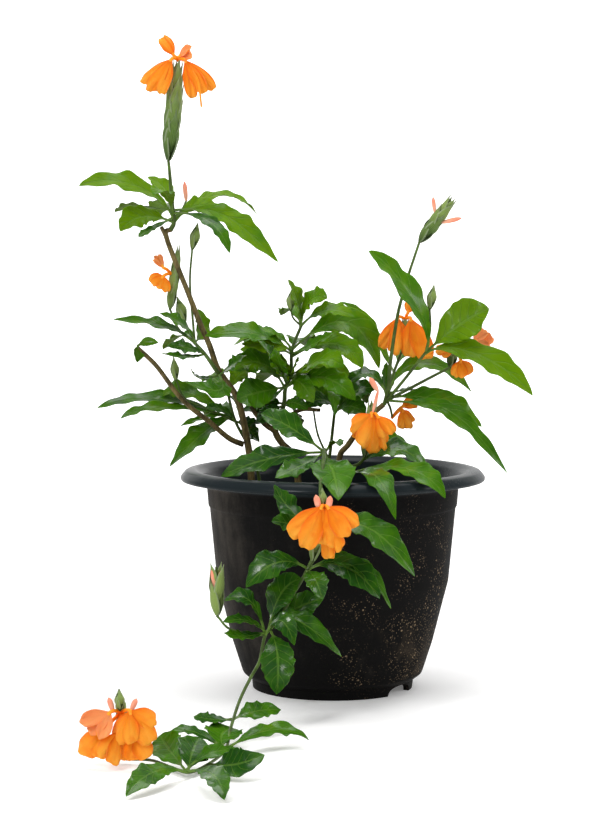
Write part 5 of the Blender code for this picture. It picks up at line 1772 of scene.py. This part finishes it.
def drain_cutter(turn):
    outline = [on_circle(2 * math.pi * k / DRAIN_SIDES, DRAIN_RADIUS) for k in range(DRAIN_SIDES)]
    start = on_circle(turn, DRAIN_CIRCLE) + Vector((0.0, 0.0, DRAIN_FROM))
    return extruded("drain", outline, start, Vector((0.0, 0.0, DRAIN_DEPTH)))


def cut_out(made, tools):
    """Takes the tools' shapes out of a solid and removes the tools."""
    cutters = bpy.data.collections.new("cutters")
    bpy.context.scene.collection.children.link(cutters)
    for tool in tools:
        cutters.objects.link(tool)
    cut = made.modifiers.new("cut", "BOOLEAN")
    cut.operation = "DIFFERENCE"
    cut.operand_type = "COLLECTION"
    cut.collection = cutters
    settle(made)
    for tool in tools:
        bpy.data.objects.remove(tool)
    bpy.data.collections.remove(cutters)


drains = [drain_cutter(2 * math.pi * (k + 0.5) / DRAIN_COUNT) for k in range(DRAIN_COUNT)]
cut_out(pot, [notch_cutter(turn) for turn in NOTCH_TURNS] + drains)
print("the cut pot has", len(pot.data.polygons), "faces")

# %% Dressed pot
SHARP_FROM = 32.0
pot.data.materials.clear()
pot.data.materials.append(POT)
pot.data.shade_smooth()
pot.data.set_sharp_from_angle(angle=math.radians(SHARP_FROM))
put_on(pot, "pot", "pot_plastic")

# %% [markdown]
# ## Soil
# The packed soil is a smooth low crown, with a hole for each stem. It stays, with a peat finish, and
# crumbs are scattered over its top: real peat is loose grains, so a grain of twenty faces is set at
# random turns and sizes and sunk a little way in.

# %% Crumbs
CRUMB_DENSITY = 52000.0
CRUMB_RADIUS = 2.1
CRUMB_SEED, SIZE_SEED, TURN_SEED = 3, 5, 6
GRAIN_LEAST, GRAIN_MOST = (0.35, 0.35, 0.3), (1.5, 1.2, 0.9)
FULL_TURN = 6.2
FLAT_ENOUGH = 0.9
CROWN_FROM = 0.155


def crumb_tree():
    tree, net, entry = growing_tree("crumbs", [
        ("Density", "Float", CRUMB_DENSITY), ("Radius", "Float", CRUMB_RADIUS * MM),
        ("Seed", "Int", CRUMB_SEED), ("Finish", "Material", None)])
    normal = net.node("GeometryNodeInputNormal")
    upward = net.vector("DOT_PRODUCT", normal, (0.0, 0.0, 1.0)).out("Value")
    place = net.node("GeometryNodeInputPosition")
    height = net.node("ShaderNodeSeparateXYZ", None, {"Vector": place}).out("Z")
    on_top = upward.above(FLAT_ENOUGH) * height.above(CROWN_FROM)
    spots = net.node("GeometryNodeDistributePointsOnFaces", {"distribute_method": "RANDOM"},
                     {"Mesh": entry.out("Geometry"), "Selection": on_top, "Density": entry.out("Density"),
                      "Seed": entry.out("Seed")})
    grain = net.node("GeometryNodeMeshIcoSphere", None,
                     {"Radius": entry.out("Radius"), "Subdivisions": 1})
    size = net.node("FunctionNodeRandomValue", {"data_type": "FLOAT_VECTOR"},
                    {"Min": GRAIN_LEAST, "Max": GRAIN_MOST, "Seed": SIZE_SEED})
    turn = net.node("FunctionNodeRandomValue", {"data_type": "FLOAT_VECTOR"},
                    {"Min": (0.0, 0.0, 0.0), "Max": (FULL_TURN, FULL_TURN, FULL_TURN), "Seed": TURN_SEED})
    turn = net.node("FunctionNodeEulerToRotation", None, {"Euler": turn})
    grains = net.node("GeometryNodeInstanceOnPoints", None,
                      {"Points": spots, "Instance": grain, "Rotation": turn, "Scale": size})
    hand_over(net, entry, grains)
    return tree


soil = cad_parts["soil"]
crumbs = run_tree(placed("soil_crumbs", soil.data.copy()), crumb_tree(), {"Finish": SOIL})
put_on(crumbs, None, "potting_soil")
soil.data.materials.clear()
soil.data.materials.append(SOIL)

# %% [markdown]
# ## Last update
# The view layer is brought up to date.

# %% Last update
bpy.context.view_layer.update()
